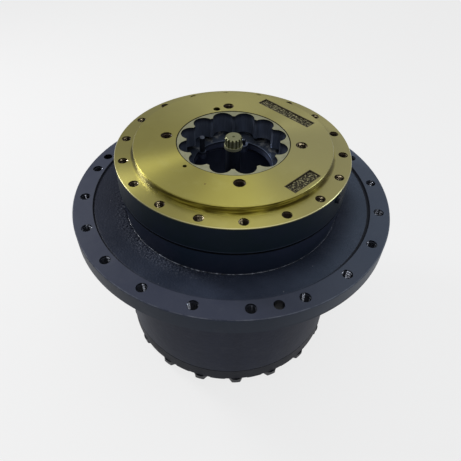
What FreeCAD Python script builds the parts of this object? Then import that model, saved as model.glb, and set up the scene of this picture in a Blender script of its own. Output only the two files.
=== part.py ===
"""Two-stage planetary final drive: a fixed spindle, a turning hub housing and the gears between them.

The unit stands on its cover, with its axis along Z and its origin under the cover's middle.
"""
import FreeCAD, Part
import math
import os
import re
import Sketcher

DOC = FreeCAD.newDocument("FinalDrive")
SHEET = DOC.addObject("Spreadsheet::Sheet", "Sizes")

# Driving dimensions: name, value in millimetres, degrees or pieces, meaning
SIZES = [
    # cover, from the floor up
    ("boss_radius", 112, "flat boss the unit stands on"),
    ("boss_rise", 10, "boss face to the cover's outer web"),
    ("dome_depth", 24, "floor to the seat of the cover bolts"),
    ("cover_flange_thickness", 33, "bolted rim of the cover"),
    ("cover_wall", 30, "cover thickness over the boss"),
    ("spigot_height", 4.5, "spigot that locates the cover in the drum"),
    ("cover_edge", 15, "outside of the cover in to its bolt circle"),
    ("cover_phase", 9.9, "angle of the first cover bolt"),
    ("cover_bolt_count", 18, "cover bolts"),
    ("cover_bolt_size", 20, "nominal diameter"),
    ("cover_bolt_reach", 36, "thread length in the drum"),
    ("bolt_flange_radius", 17, "washer face under the head"),
    ("bolt_flange_thickness", 4, "washer face thickness"),
    ("bolt_head_flats", 30, "across flats"),
    ("bolt_head_height", 11, "hexagon height"),
    ("o_ring_section", 3, "corner groove of the cover's O-ring"),
    ("o_ring_relief", 1, "that groove outside the spigot"),
    ("joint_chamfer", 1, "bevel of both edges at the joint line"),
    ("plug_circle", 82, "radius at which drain and level plug sit"),
    ("plug_radius", 11, "thread radius of the plugs"),
    ("plug_collar_radius", 16, "collar radius"),
    ("plug_collar_thickness", 6, "collar thickness"),
    ("plug_seal_thickness", 1.5, "sealing washer"),
    ("level_plug_angle", 150, "place of the level plug"),
    # drum, flange and neck of the hub housing
    ("drum_foot_radius", 219.5, "drum at the joint"),
    ("drum_draft", 2.5, "growth of the drum up to the flange"),
    ("drum_length", 252.5, "joint to underside of the sprocket flange"),
    ("sprocket_radius", 290, "outer radius of the sprocket flange"),
    ("sprocket_thickness", 33.5, "sprocket flange thickness"),
    ("sprocket_edge", 20, "edge of the sprocket flange in to its bolt circle"),
    ("sprocket_count", 20, "tapped sprocket holes"),
    ("sprocket_hole", 9, "radius of the tapped sprocket holes"),
    ("sprocket_phase", 15.4, "angle of the first sprocket hole"),
    ("jacking_hole", 8.5, "radius of the plain jacking holes"),
    ("rim_width", 35.3, "width of the machined rim"),
    ("rim_step", 3, "height of the machined rim over the web"),
    ("web_dish", 12, "sprocket face down to the foot of the neck"),
    ("neck_waist", 6, "neck foot inside the skirt's radius"),
    ("neck_height", 42.2, "sprocket face to the top of the neck"),
    ("flange_fillet", 9, "fillet between drum and flange"),
    # main bearings
    ("bearing_wall", 32, "skirt's radius in to the outer seat of both bearings"),
    ("bearing_depth", 40, "outer seat in to the spindle's journal"),
    ("bearing_width", 40, "width of one bearing"),
    ("bearing_floor", 13, "upper bearing: sprocket face down to its lower end"),
    ("bearing_gap", 28, "shoulder between the two bearings"),
    ("bearing_shoulder", 9, "reach of the housing shoulder between the bearings"),
    ("journal_shoulder", 16, "reach of the spindle shoulder over the bearings"),
    ("roller_radius", 9.5, "radius of a roller"),
    ("roller_length", 28, "length of a roller"),
    ("roller_count", 30, "rollers in one bearing"),
    ("contact_angle", 14, "tilt of the rollers"),
    ("rolling_gap", 0.2, "clearance between rollers and races"),
    # seal between neck and skirt
    ("seal_gap", 2, "visible gap between neck and skirt"),
    ("seal_wall", 20, "wall outside the seal chamber"),
    ("seal_depth", 25, "outside of the seal chamber in to the bore of the lapped rings"),
    ("seal_ring_width", 14, "radial width of a lapped ring"),
    ("seal_ring_height", 11, "height of a lapped ring"),
    ("seal_chamber_rise", 13.5, "depth of the chamber in the skirt"),
    ("seal_lip", 4, "reach and thickness of a lapped ring's lip"),
    ("seal_cushion_height", 8.4, "height of a rubber ring"),
    # spindle
    ("skirt_radius", 202, "outer radius of the frame flange"),
    ("skirt_height", 51.5, "gap to frame face"),
    ("frame_rim", 32, "width of the frame face round the raised pilot disc"),
    ("pilot_height", 13, "height of the raised disc"),
    ("frame_edge", 14, "edge of the frame face in to its bolt circle"),
    ("frame_count", 18, "tapped frame holes"),
    ("frame_hole", 8, "radius of the tapped frame holes"),
    ("frame_hole_depth", 32, "depth of the frame holes"),
    ("frame_phase", 10, "angle of the first frame hole"),
    ("motor_circle", 116, "radius of the motor bolt circle"),
    ("motor_hole", 10, "radius of the tapped motor holes"),
    ("motor_hole_depth", 45, "depth of the motor holes"),
    ("motor_angle", 50, "motor holes lie this far either side of the X axis"),
    ("dowel_circle", 108.3, "radius at which dowel hole and port lie"),
    ("dowel_hole", 6.5, "radius of the dowel hole"),
    ("dowel_depth", 20, "depth of the dowel hole"),
    ("dowel_angle", 62.2, "place of the dowel hole"),
    ("port_hole", 3.5, "radius of the small port"),
    ("label_depth", 2, "depth of the milled label recesses"),
    ("label_width", 20, "width of both recesses"),
    ("long_label", 117, "length of the long recess"),
    ("long_label_place", 137, "distance of the long recess from the axis"),
    ("short_label", 60, "length of the short recess"),
    ("short_label_place", 151.7, "distance of the short recess from the axis"),
    ("socket_radius", 97, "bore that takes the brake slot ring"),
    ("socket_recess", 0.8, "pilot face down to the slot ring"),
    ("ring_seat", 2.4, "reach of the shoulder that carries the slot ring"),
    ("ledge_drop", 6.2, "foot of the slot ring down to the ledge"),
    ("throat_radius", 70, "opening in the ledge"),
    ("ledge_thickness", 13, "thickness of the ledge"),
    ("relief_radius", 86, "spindle bore below the ledge"),
    ("relief_height", 86, "height of that bore"),
    ("tail_bore", 74, "bore through the spindle's tail"),
    ("skirt_plug_angle", 279.4, "place of the plug in the skirt"),
    ("skirt_plug_drop", 12, "frame face down to the plug's centre"),
    ("skirt_plug_radius", 7, "radius of the plug's head"),
    ("skirt_plug_head", 5, "height of the plug's head"),
    ("skirt_plug_thread", 10, "length of the plug's thread"),
    # slot ring in the spindle
    ("slot_ring_height", 39.2, "height of the slot ring"),
    ("slot_count", 12, "half-round slots"),
    ("slot_circle", 76, "radius on which the slots are centred"),
    ("slot_radius", 18.3, "radius of a slot"),
    ("land_radius", 80.3, "bore across the lands"),
    ("guide_pin_seat", 10, "how deep a guide pin sits in its lug"),
    ("guide_lug_radius", 6.5, "rounded end of the ledge's lug under a guide pin"),
    ("short_guide_radius", 3.5, "radius of the short guide pin"),
    ("short_guide_height", 13, "how far it stands out of its lug"),
    ("short_guide_circle", 60, "its distance from the axis"),
    ("short_guide_angle", 25.5, "its place round the axis"),
    ("long_guide_radius", 5, "radius of the long guide pin"),
    ("long_guide_height", 30, "how far it stands out of its lug"),
    ("long_guide_circle", 65, "its distance from the axis"),
    ("long_guide_angle", 104.4, "its place round the axis"),
    # gears
    ("gear_module", 5, "module of all gears"),
    ("pressure_angle", 25, "pressure angle of all gears"),
    ("tooth_gap", 0.3, "thinning of each flank"),
    ("ring_teeth", 66, "ring gear"),
    ("ring_wall", 22, "ring gear outside its pitch circle"),
    ("ring_length", 182, "length of the ring gear"),
    ("first_sun_teeth", 12, "sun of the first stage"),
    ("first_planet_teeth", 27, "planets of the first stage"),
    ("first_planet_count", 3, "planets of the first stage"),
    ("first_face", 43, "face width of the first stage"),
    ("output_sun_teeth", 22, "sun of the output stage"),
    ("output_planet_teeth", 22, "planets of the output stage"),
    ("output_planet_count", 4, "planets of the output stage"),
    ("output_face", 80, "face width of the output stage"),
    ("washer_thickness", 3, "thrust washers"),
    ("washer_rim", 4, "reach of a thrust washer past the bush"),
    ("end_play", 0.4, "play at each thrust washer"),
    # output stage carrier, standing still on the spindle
    ("carrier_thickness", 26, "plate bolted to the spindle"),
    ("carrier_rim", 13, "plate outside the planet pins"),
    ("carrier_bore", 56, "opening round the output sun"),
    ("shim_thickness", 2, "preload shim"),
    ("carrier_bolt_edge", 26, "spindle's journal in to the bolts in its end"),
    ("carrier_bolt_size", 16, "nominal diameter"),
    ("carrier_bolt_spread", 22, "angle between bolts beside a planet"),
    ("carrier_bolt_reach", 30, "thread length in the spindle"),
    ("carrier_head_radius", 12, "socket head radius"),
    ("carrier_head_height", 15, "socket head height"),
    ("output_pin_radius", 25, "planet pins"),
    ("output_bush_wall", 6, "wall of a planet bush"),
    ("retainer_thickness", 10, "plate under the output planets"),
    ("retainer_rim", 30, "plate outside the planets' centres"),
    ("retainer_bore", 62, "opening round the output sun"),
    ("retainer_bolt_radius", 8, "bolts that hold that plate"),
    ("retainer_head_radius", 12, "their heads"),
    ("retainer_head_height", 7, "their heads"),
    ("retainer_bolt_reach", 30, "their thread length"),
    # first stage carrier and input shaft
    ("first_carrier_thickness", 18, "plate over the first planets"),
    ("first_carrier_radius", 128, "outer radius of the plate"),
    ("stage_gap", 3, "clearance between the stages"),
    ("first_pin_radius", 19, "planet pins"),
    ("first_bush_wall", 5, "wall of a planet bush"),
    ("ring_groove", 2, "thickness of the retaining rings"),
    ("ring_reach", 4, "how far a retaining ring stands out of its pin"),
    ("output_sun_bore", 27, "bore of the output sun"),
    ("shaft_radius", 13, "plain part of the input shaft"),
    ("shaft_standout", 7.5, "shaft above the pilot face"),
    ("collar_radius", 15.8, "collar under the spline"),
    ("collar_height", 5, "height of that collar"),
    ("spline_length", 16, "spline above the collar"),
    ("spline_module", 2, "module of the input spline"),
    ("spline_teeth", 14, "teeth of the input spline"),
    ("shaft_chamfer", 2.3, "chamfer on the shaft's end"),
    ("centre_drill", 2.5, "radius of the centre drill hole"),
    ("button_radius", 17, "thrust button under the shaft"),
    ("button_height", 9, "height of that button"),
    ("button_seat", 5, "how deep the button sits in the cover"),
    # fits
    ("seat_clearance", 0.05, "radial clearance of parts seated in each other"),
    ("running_clearance", 0.08, "radial clearance of a bush on its pin"),
    ("hole_clearance", 0.4, "radial clearance of bolts in plain holes"),
    ("face_gap", 0.02, "gap between faces that meet"),
]

for line, (alias, number, meaning) in enumerate(SIZES, start=1):
    SHEET.set(f"A{line}", meaning)
    SHEET.set(f"B{line}", str(number))
    SHEET.setAlias(f"B{line}", alias)
DOC.recompute()

ALIASES = {alias for alias, number, meaning in SIZES}

# Levels above the floor, and places that several pieces share
COVER_SEAT = "dome_depth"
JOINT = f"({COVER_SEAT} + cover_flange_thickness)"
FLANGE_UNDERSIDE = f"({JOINT} + drum_length)"
SPROCKET_FACE = f"({FLANGE_UNDERSIDE} + sprocket_thickness)"
NECK_TOP = f"({SPROCKET_FACE} + neck_height)"
SKIRT_FOOT = f"({NECK_TOP} + seal_gap)"
SEAL_PLANE = f"({NECK_TOP} + seal_gap / 2)"
FRAME_FACE = f"({SKIRT_FOOT} + skirt_height)"
PILOT_FACE = f"({FRAME_FACE} + pilot_height)"
SLOT_TOP = f"({PILOT_FACE} - socket_recess)"
SLOT_FOOT = f"({SLOT_TOP} - slot_ring_height)"
LEDGE_TOP = f"({SLOT_FOOT} - ledge_drop)"
SHAFT_TOP = f"({PILOT_FACE} + shaft_standout)"
UPPER_BEARING = f"({SPROCKET_FACE} - bearing_floor)"
LOWER_BEARING = f"({UPPER_BEARING} - bearing_gap - bearing_width)"
BEARING_TOP = f"({UPPER_BEARING} + bearing_width)"
TAIL_END = f"({LOWER_BEARING} + shim_thickness)"
CARRIER_FOOT = f"({LOWER_BEARING} - carrier_thickness)"
WASHER_SPACE = "(washer_thickness + 2 * end_play)"
OUTPUT_TOP = f"({CARRIER_FOOT} - {WASHER_SPACE})"
OUTPUT_FOOT = f"({OUTPUT_TOP} - output_face)"
RETAINER_TOP = f"({OUTPUT_FOOT} - {WASHER_SPACE})"
RETAINER_FOOT = f"({RETAINER_TOP} - retainer_thickness)"
FIRST_CARRIER_TOP = f"({RETAINER_FOOT} - retainer_head_height - stage_gap)"
FIRST_CARRIER_FOOT = f"({FIRST_CARRIER_TOP} - first_carrier_thickness)"
FIRST_TOP = f"({FIRST_CARRIER_FOOT} - {WASHER_SPACE})"
FIRST_FOOT = f"({FIRST_TOP} - first_face)"
FIRST_WASHER_FOOT = f"({FIRST_FOOT} - {WASHER_SPACE})"
SPIGOT_TOP = f"({JOINT} + spigot_height)"
BUTTON_TOP = "(cover_wall - button_seat + button_height)"
SHAFT_FOOT = f"({BUTTON_TOP} + end_play)"
RING_FOOT = f"({SPIGOT_TOP} + end_play)"
RING_TOP = f"({RING_FOOT} + ring_length)"
FIRST_CENTRES = "(gear_module * (first_sun_teeth + first_planet_teeth) / 2)"
OUTPUT_CENTRES = "(gear_module * (output_sun_teeth + output_planet_teeth) / 2)"
COVER_CIRCLE = "(drum_foot_radius - cover_edge)"
DRUM_HEAD = "(drum_foot_radius + drum_draft)"
DRUM_BORE = "(gear_module * ring_teeth / 2 + ring_wall)"
SPIGOT = f"({DRUM_BORE} - seat_clearance)"
SPROCKET_CIRCLE = "(sprocket_radius - sprocket_edge)"
RIM_INNER = "(sprocket_radius - rim_width)"
NECK_FOOT = "(skirt_radius - neck_waist)"
RACE_OUTER = "(skirt_radius - bearing_wall)"
RACE_INNER = f"({RACE_OUTER} - bearing_depth)"
RACE_MIDDLE = f"(({RACE_OUTER} + {RACE_INNER}) / 2)"
SHOULDER = f"({RACE_OUTER} - bearing_shoulder)"
SEAL_MOUTH = "(skirt_radius - seal_wall)"
SEAL_INNER = f"({SEAL_MOUTH} - seal_depth)"
PILOT_RADIUS = "(skirt_radius - frame_rim)"
FRAME_CIRCLE = "(skirt_radius - frame_edge)"
RING_SEAT = "(socket_radius - ring_seat)"
CARRIER_BOLTS = f"({RACE_INNER} - carrier_bolt_edge)"
CARRIER_RADIUS = f"({OUTPUT_CENTRES} + output_pin_radius + carrier_rim)"
RETAINER_RADIUS = f"({OUTPUT_CENTRES} + retainer_rim)"


# Pins in the spindle's bore, and the corners of a bolt head
GUIDE_PINS = ("short_guide", "long_guide")
HEXAGON = 6

# How far a cutting shape runs past the faces it opens
OVERRUN = 1.0


def bound(expression):
    """The expression with each size name pointing at its cell."""
    return re.sub(r"[a-z_]+",
                  lambda word: f"Sizes.{word.group()}" if word.group() in ALIASES else word.group(),
                  expression)


def size(expression):
    """The present value of an expression in the named sizes."""
    return float(SHEET.evalExpression(bound(expression)))


def new_body(label):
    """An empty body with its own label."""
    body = DOC.addObject("PartDesign::Body", label)
    body.Label = label
    return body


def new_sketch(body, role, name, level="0"):
    """A sketch on one of the body's own origin planes, lifted to a level along the plane's normal."""
    plane = next(item for item in body.Origin.OriginFeatures if item.Role == role)
    sketch = body.newObject("Sketcher::SketchObject", name)
    sketch.AttachmentSupport = [(plane, "")]
    sketch.MapMode = "FlatFace"
    if level != "0":
        sketch.setExpression("AttachmentOffset.Base.z", bound(level))
    return sketch


def add_outline(sketch, corners):
    """A closed outline whose corners are bound to pairs of size expressions."""
    places = [FreeCAD.Vector(size(across), size(along), 0) for across, along in corners]
    first = sketch.GeometryCount
    count = len(places)
    for index, place in enumerate(places):
        sketch.addGeometry(Part.LineSegment(place, places[(index + 1) % count]), False)
    for index in range(count):
        following = first + (index + 1) % count
        sketch.addConstraint(Sketcher.Constraint("Coincident", first + index, 2, following, 1))
    for index, (across, along) in enumerate(corners):
        for direction, expression in (("DistanceX", across), ("DistanceY", along)):
            number = sketch.addConstraint(
                Sketcher.Constraint(direction, first + index, 1, size(expression)))
            sketch.setExpression(f"Constraints[{number}]", bound(expression))


def add_circle(sketch, across, along, radius):
    """A circle whose centre and radius are bound to size expressions."""
    centre = FreeCAD.Vector(size(across), size(along), 0)
    circle = sketch.addGeometry(Part.Circle(centre, FreeCAD.Vector(0, 0, 1), size(radius)), False)
    for direction, expression in (("DistanceX", across), ("DistanceY", along)):
        number = sketch.addConstraint(Sketcher.Constraint(direction, circle, 3, size(expression)))
        sketch.setExpression(f"Constraints[{number}]", bound(expression))
    number = sketch.addConstraint(Sketcher.Constraint("Radius", circle, size(radius)))
    sketch.setExpression(f"Constraints[{number}]", bound(radius))


def revolve(body, name, corners):
    """A full revolution of an outline of radius and height pairs about the body's Z axis."""
    sketch = new_sketch(body, "XZ_Plane", f"{name}_profile")
    add_outline(sketch, corners)
    turned = body.newObject("PartDesign::Revolution", name)
    turned.Profile = sketch
    turned.ReferenceAxis = (sketch, ["V_Axis"])
    turned.Angle = 360
    body.Tip = turned
    return turned


def groove(body, name, corners):
    """A full groove cut about the body's Z axis."""
    sketch = new_sketch(body, "XZ_Plane", f"{name}_profile")
    add_outline(sketch, corners)
    cut = body.newObject("PartDesign::Groove", name)
    cut.Profile = sketch
    cut.ReferenceAxis = (sketch, ["V_Axis"])
    cut.Angle = 360
    body.Tip = cut
    return cut


def pocket(body, name, level, circles, depth, upward=False):
    """Round pockets from a level, downward unless stated, with circles of (across, along, radius)."""
    sketch = new_sketch(body, "XY_Plane", f"{name}_sketch", level)
    for across, along, radius in circles:
        add_circle(sketch, across, along, radius)
    cut = body.newObject("PartDesign::Pocket", name)
    cut.Profile = sketch
    cut.Type = "Length"
    cut.Reversed = upward
    cut.Length = size(depth)
    cut.setExpression("Length", bound(depth))
    body.Tip = cut
    return cut


def polar(body, name, feature, count):
    """A full circle of copies of a feature about the body's Z axis."""
    pattern = body.newObject("PartDesign::PolarPattern", name)
    pattern.Originals = [feature]
    axis = next(item for item in body.Origin.OriginFeatures if item.Role == "Z_Axis")
    pattern.Axis = (axis, [""])
    pattern.Angle = 360
    pattern.Occurrences = int(size(count))
    pattern.setExpression("Occurrences", bound(count))
    body.Tip = pattern
    return pattern


def hole_circle(body, name, level, circle, phase, radius, depth, count, upward=False):
    """Equal holes on a bolt circle, the first of them at the phase angle."""
    across = f"{circle} * cos({phase})"
    along = f"{circle} * sin({phase})"
    first = pocket(body, name, level, [(across, along, radius)], depth, upward)
    return polar(body, f"{name}_circle", first, count)


def edges_at(shape, radius, level):
    """Names of the round edges of a shape at one radius and level."""
    names = []
    for index, edge in enumerate(shape.Edges, start=1):
        if not isinstance(edge.Curve, Part.Circle):
            continue
        same_radius = abs(edge.Curve.Radius - size(radius)) < 0.01
        same_level = abs(edge.Curve.Center.z - size(level)) < 0.01
        on_axis = math.hypot(edge.Curve.Center.x, edge.Curve.Center.y) < 0.01
        if same_radius and same_level and on_axis:
            names.append(f"Edge{index}")
    return names


def soften(body, kind, name, places, amount):
    """A fillet or chamfer on the round edges at the given radius and level pairs."""
    DOC.recompute()
    base = body.Tip
    names = [edge for radius, level in places for edge in edges_at(base.Shape, radius, level)]
    feature = body.newObject(f"PartDesign::{kind}", name)
    feature.Base = (base, names)
    measure = "Radius" if kind == "Fillet" else "Size"
    setattr(feature, measure, size(amount))
    feature.setExpression(measure, bound(amount))
    body.Tip = feature
    return feature


def turned_ring(label, corners):
    """A sub-part that is one revolution."""
    body = new_body(label)
    revolve(body, f"{label}_turned", corners)
    return body


def tube(label, inner, outer, foot, top):
    """A plain turned ring between two radii and two levels."""
    return turned_ring(label, [(inner, foot), (outer, foot), (outer, top), (inner, top)])


def place_at(thing, across="0", along="0", level="0"):
    """Bind a sub-part's position to size expressions."""
    for axis, expression in (("x", across), ("y", along), ("z", level)):
        if expression != "0":
            thing.setExpression(f"Placement.Base.{axis}", bound(expression))


def feature_of(label, shape, placement=None):
    """A sub-part whose shape is computed from the sizes."""
    thing = DOC.addObject("Part::Feature", label)
    thing.Label = label
    thing.Shape = shape
    if placement is not None:
        thing.Placement = placement
    return thing


def drilled(level, angle, radius):
    """Placement on a circle about the axis."""
    turn = FreeCAD.Rotation(FreeCAD.Vector(0, 0, 1), angle)
    return FreeCAD.Placement(turn.multVec(FreeCAD.Vector(radius, 0, level)), turn)


def angles(count, phase=0.0):
    """Equal angles round a full circle."""
    return [phase + 360.0 * index / count for index in range(count)]


# Gears


def involute(angle):
    """The involute function of an angle in radians."""
    return math.tan(angle) - angle


def tooth_outline(teeth, module, radii, thinning, phase=0.0):
    """Corners of a toothed outline through the involute at the given radii, from root to tip.

    A positive thinning makes each tooth thinner, for a gear. A negative one makes it wider, for
    the outline of an internal gear's spaces.
    """
    slope = math.radians(size("pressure_angle"))
    pitch = module * teeth / 2
    base = pitch * math.cos(slope)
    half_widths = []
    for radius in radii:
        reach = max(radius, base)
        half = math.pi / (2 * teeth) + involute(slope) - involute(math.acos(base / reach))
        half_widths.append(half - thinning / radius)
    rising = [(radius, -half) for radius, half in zip(radii, half_widths)]
    falling = [(radius, half) for radius, half in reversed(list(zip(radii, half_widths)))]
    corners = []
    for index in range(teeth):
        middle = math.radians(phase) + 2 * math.pi * index / teeth
        for radius, offset in rising + falling:
            turn = middle + offset
            corners.append(FreeCAD.Vector(radius * math.cos(turn), radius * math.sin(turn), 0))
    return corners


def outline_prism(corners, foot, top):
    """A prism on a closed outline between two levels."""
    wire = Part.makePolygon(corners + [corners[0]])
    wire.translate(FreeCAD.Vector(0, 0, foot))
    return Part.Face(wire).extrude(FreeCAD.Vector(0, 0, top - foot))


def gear_radii(teeth, module):
    """Root, pitch and tip radius of an external gear, with its involute start where it has one."""
    pitch = module * teeth / 2
    base = pitch * math.cos(math.radians(size("pressure_angle")))
    root = pitch - 1.25 * module
    tip = pitch + module
    start = [base] if base > root + 0.1 * module else []
    return [root] + start + [pitch, tip]


def gear_prism(teeth, foot, top, phase=0.0):
    """A spur gear blank with its teeth, the first tooth at the phase angle."""
    module = size("gear_module")
    corners = tooth_outline(teeth, module, gear_radii(teeth, module), size("tooth_gap"), phase)
    return outline_prism(corners, foot, top)


def cylinder(radius, foot, top):
    """A solid cylinder on the axis between two levels."""
    return Part.makeCylinder(radius, top - foot, FreeCAD.Vector(0, 0, foot))


def internal_teeth(teeth, foot, top, phase=0.0):
    """The space inside an internal gear, with one space at the phase angle."""
    module = size("gear_module")
    pitch = module * teeth / 2
    radii = [pitch - module, pitch, pitch + 1.25 * module]
    corners = tooth_outline(teeth, module, radii, -size("tooth_gap"), phase)
    return outline_prism(corners, foot, top)


# The hub housing and what turns with it


def hub_housing():
    """Neck, dished web, sprocket flange and drum in one casting."""
    body = new_body("hub_housing")
    revolve(body, "casting", [
        (DRUM_BORE, JOINT),
        ("drum_foot_radius", JOINT),
        (DRUM_HEAD, FLANGE_UNDERSIDE),
        ("sprocket_radius", FLANGE_UNDERSIDE),
        ("sprocket_radius", SPROCKET_FACE),
        (RIM_INNER, SPROCKET_FACE),
        (f"{RIM_INNER} - rim_step / 2", f"{SPROCKET_FACE} - rim_step"),
        (NECK_FOOT, f"{SPROCKET_FACE} - web_dish"),
        ("skirt_radius", NECK_TOP),
        (SEAL_MOUTH, NECK_TOP),
        (SEAL_MOUTH, BEARING_TOP),
        (RACE_OUTER, BEARING_TOP),
        (RACE_OUTER, UPPER_BEARING),
        (SHOULDER, UPPER_BEARING),
        (SHOULDER, f"{LOWER_BEARING} + bearing_width"),
        (RACE_OUTER, f"{LOWER_BEARING} + bearing_width"),
        (RACE_OUTER, RING_TOP),
        (DRUM_BORE, RING_TOP),
    ])
    soften(body, "Fillet", "flange_root", [(DRUM_HEAD, FLANGE_UNDERSIDE)], "flange_fillet")
    soften(body, "Chamfer", "rim_edges",
           [("sprocket_radius", FLANGE_UNDERSIDE), ("sprocket_radius", SPROCKET_FACE)], "rim_step / 2")
    soften(body, "Chamfer", "joint_bevel", [("drum_foot_radius", JOINT)], "joint_chamfer")
    hole_circle(body, "sprocket_holes", SPROCKET_FACE, SPROCKET_CIRCLE, "sprocket_phase", "sprocket_hole",
                "sprocket_thickness", "sprocket_count")
    pocket(body, "jacking_holes", SPROCKET_FACE, jacking_places(), "sprocket_thickness")
    hole_circle(body, "cover_holes", JOINT, COVER_CIRCLE, "cover_phase",
                "(cover_bolt_size / 2 + seat_clearance)", "(cover_bolt_reach + 2 * end_play)",
                "cover_bolt_count", upward=True)
    return body


def jacking_places():
    """The three plain holes, each midway between two tapped ones, about a third of a turn apart."""
    places = []
    for pitches in (5.5, 12.5, 19.5):
        turn = f"(sprocket_phase + {pitches} * 360 / sprocket_count)"
        places.append((f"{SPROCKET_CIRCLE} * cos{turn}", f"{SPROCKET_CIRCLE} * sin{turn}", "jacking_hole"))
    return places


def cover():
    """Bolted cover with its boss, spigot and plug holes."""
    body = new_body("cover")
    revolve(body, "cover_turned", [
        ("0", "0"),
        ("boss_radius", "0"),
        ("boss_radius + boss_rise", "boss_rise"),
        (f"{SPIGOT} - 2 * boss_rise", "boss_rise"),
        (f"{SPIGOT} - boss_rise", COVER_SEAT),
        ("drum_foot_radius", COVER_SEAT),
        ("drum_foot_radius", JOINT),
        (SPIGOT, JOINT),
        (SPIGOT, SPIGOT_TOP),
        (f"{SPIGOT} - 2 * boss_rise", SPIGOT_TOP),
        (f"{SPIGOT} - 4 * boss_rise", "cover_wall"),
        ("0", "cover_wall"),
    ])
    groove(body, "o_ring_groove", [
        (f"{SPIGOT} - o_ring_section", f"{JOINT} - o_ring_section"),
        (f"{SPIGOT} + o_ring_relief", f"{JOINT} - o_ring_section"),
        (f"{SPIGOT} + o_ring_relief", JOINT),
        (f"{SPIGOT} - o_ring_section", JOINT),
    ])
    soften(body, "Chamfer", "lower_bevel", [("drum_foot_radius", COVER_SEAT)], "rim_step")
    soften(body, "Chamfer", "joint_bevel_below", [("drum_foot_radius", JOINT)], "joint_chamfer")
    hole_circle(body, "bolt_holes", COVER_SEAT, COVER_CIRCLE, "cover_phase",
                "(cover_bolt_size / 2 + hole_clearance)", "cover_flange_thickness", "cover_bolt_count",
                upward=True)
    pocket(body, "button_seat_hole", "cover_wall", [("0", "0", "button_radius + seat_clearance")],
           "button_seat")
    for name, angle in (("drain", "0"), ("level", "level_plug_angle")):
        across = f"plug_circle * cos({angle})"
        along = f"plug_circle * sin({angle})"
        pocket(body, f"{name}_bore", "0", [(across, along, "plug_radius + seat_clearance")], "cover_wall",
               upward=True)
        pocket(body, f"{name}_counterbore", "0", [(across, along, "1.15 * plug_collar_radius")],
               "plug_collar_thickness + plug_seal_thickness + end_play", upward=True)
    return body


def hexagon(flats, foot, top):
    """A hexagonal prism on the axis."""
    half_side = math.pi / HEXAGON
    corner = flats / 2 / math.cos(half_side)
    corners = [FreeCAD.Vector(corner * math.cos(turn), corner * math.sin(turn), 0)
               for turn in (half_side * (2 * index + 1) for index in range(HEXAGON))]
    return outline_prism(corners, foot, top)


def bevelled_head(flats, foot, top):
    """A hexagon head whose corners are turned off at its lower end, at thirty degrees to the face."""
    crown = Part.makeCone(flats / 2, flats / 2 + (top - foot) / math.tan(math.pi / HEXAGON), top - foot,
                          FreeCAD.Vector(0, 0, foot))
    return hexagon(flats, foot, top).common(crown)


def group(label, pieces):
    """A sub-part that holds several equal, separate solids."""
    return feature_of(label, Part.makeCompound(pieces))


def copies(piece, places):
    """Copies of a piece at the given placements."""
    moved = []
    for place in places:
        copy = piece.copy()
        copy.Placement = place.multiply(copy.Placement)
        moved.append(copy)
    return moved


def cover_bolts():
    """Flanged hexagon bolts that hold the cover."""
    seat = size(COVER_SEAT)
    flange_foot = seat - size("bolt_flange_thickness")
    head = bevelled_head(size("bolt_head_flats"), flange_foot - size("bolt_head_height"), flange_foot)
    flange = cylinder(size("bolt_flange_radius"), flange_foot, seat)
    shank = cylinder(size("cover_bolt_size") / 2, seat, size(JOINT) + size("cover_bolt_reach"))
    bolt = head.fuse([flange, shank]).removeSplitter()
    turns = angles(int(size("cover_bolt_count")), size("cover_phase"))
    return group("cover_bolts", copies(bolt, [drilled(0, turn, size(COVER_CIRCLE)) for turn in turns]))


def cover_plug(label, angle):
    """Collar plug with hexagon socket, screwed into the cover from below."""
    seat = size("plug_collar_thickness") + size("plug_seal_thickness") + size("end_play")
    collar_top = seat - size("plug_seal_thickness")
    collar = cylinder(size("plug_collar_radius"), collar_top - size("plug_collar_thickness"), collar_top)
    thread = cylinder(size("plug_radius"), collar_top, 0.9 * size("cover_wall"))
    socket = hexagon(1.1 * size("plug_radius"), 0, collar_top + size("plug_seal_thickness"))
    plug = collar.fuse(thread).cut(socket)
    return feature_of(label, plug, drilled(0, size(angle), size("plug_circle")))


def plug_seals():
    """Sealing washers under both plug collars."""
    seat = size("plug_collar_thickness") + size("plug_seal_thickness") + size("end_play")
    foot = seat - size("plug_seal_thickness")
    washer = cylinder(size("plug_collar_radius"), foot, seat)
    washer = washer.cut(cylinder(size("plug_radius") + size("hole_clearance"), foot, seat))
    places = [drilled(0, turn, size("plug_circle")) for turn in (0, size("level_plug_angle"))]
    return group("plug_seals", copies(washer, places))


def cover_o_ring():
    """Rubber ring in the corner between spigot and rim."""
    return tube("cover_o_ring", f"{SPIGOT} - o_ring_section + hole_clearance / 2",
                f"{SPIGOT} - hole_clearance / 2", f"{JOINT} - o_ring_section + hole_clearance / 2",
                f"{JOINT} - hole_clearance / 2")


def thrust_button():
    """Hardened button that carries the input shaft's end."""
    body = new_body("thrust_button")
    revolve(body, "button_turned", [
        ("0", "cover_wall - button_seat"),
        ("button_radius", "cover_wall - button_seat"),
        ("button_radius", f"{BUTTON_TOP} - 2"),
        ("button_radius - 2", BUTTON_TOP),
        ("0", BUTTON_TOP),
    ])
    return body


def ring_gear():
    """Internal gear of both stages, shrunk into the drum."""
    foot = size(RING_FOOT)
    top = size(RING_TOP) - size("end_play")
    blank = cylinder(size(DRUM_BORE) - size("seat_clearance"), foot, top)
    spaces = internal_teeth(int(size("ring_teeth")), foot - OVERRUN, top + OVERRUN)
    return feature_of("ring_gear", blank.cut(spaces))


# Main bearings


def raceway(side):
    """Radius of a raceway at the bearing's middle; side is -1 for the inner race and 1 for the outer."""
    sign = "-" if side < 0 else "+"
    return f"({RACE_MIDDLE} {sign} (roller_radius + rolling_gap) / cos(contact_angle))"


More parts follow.
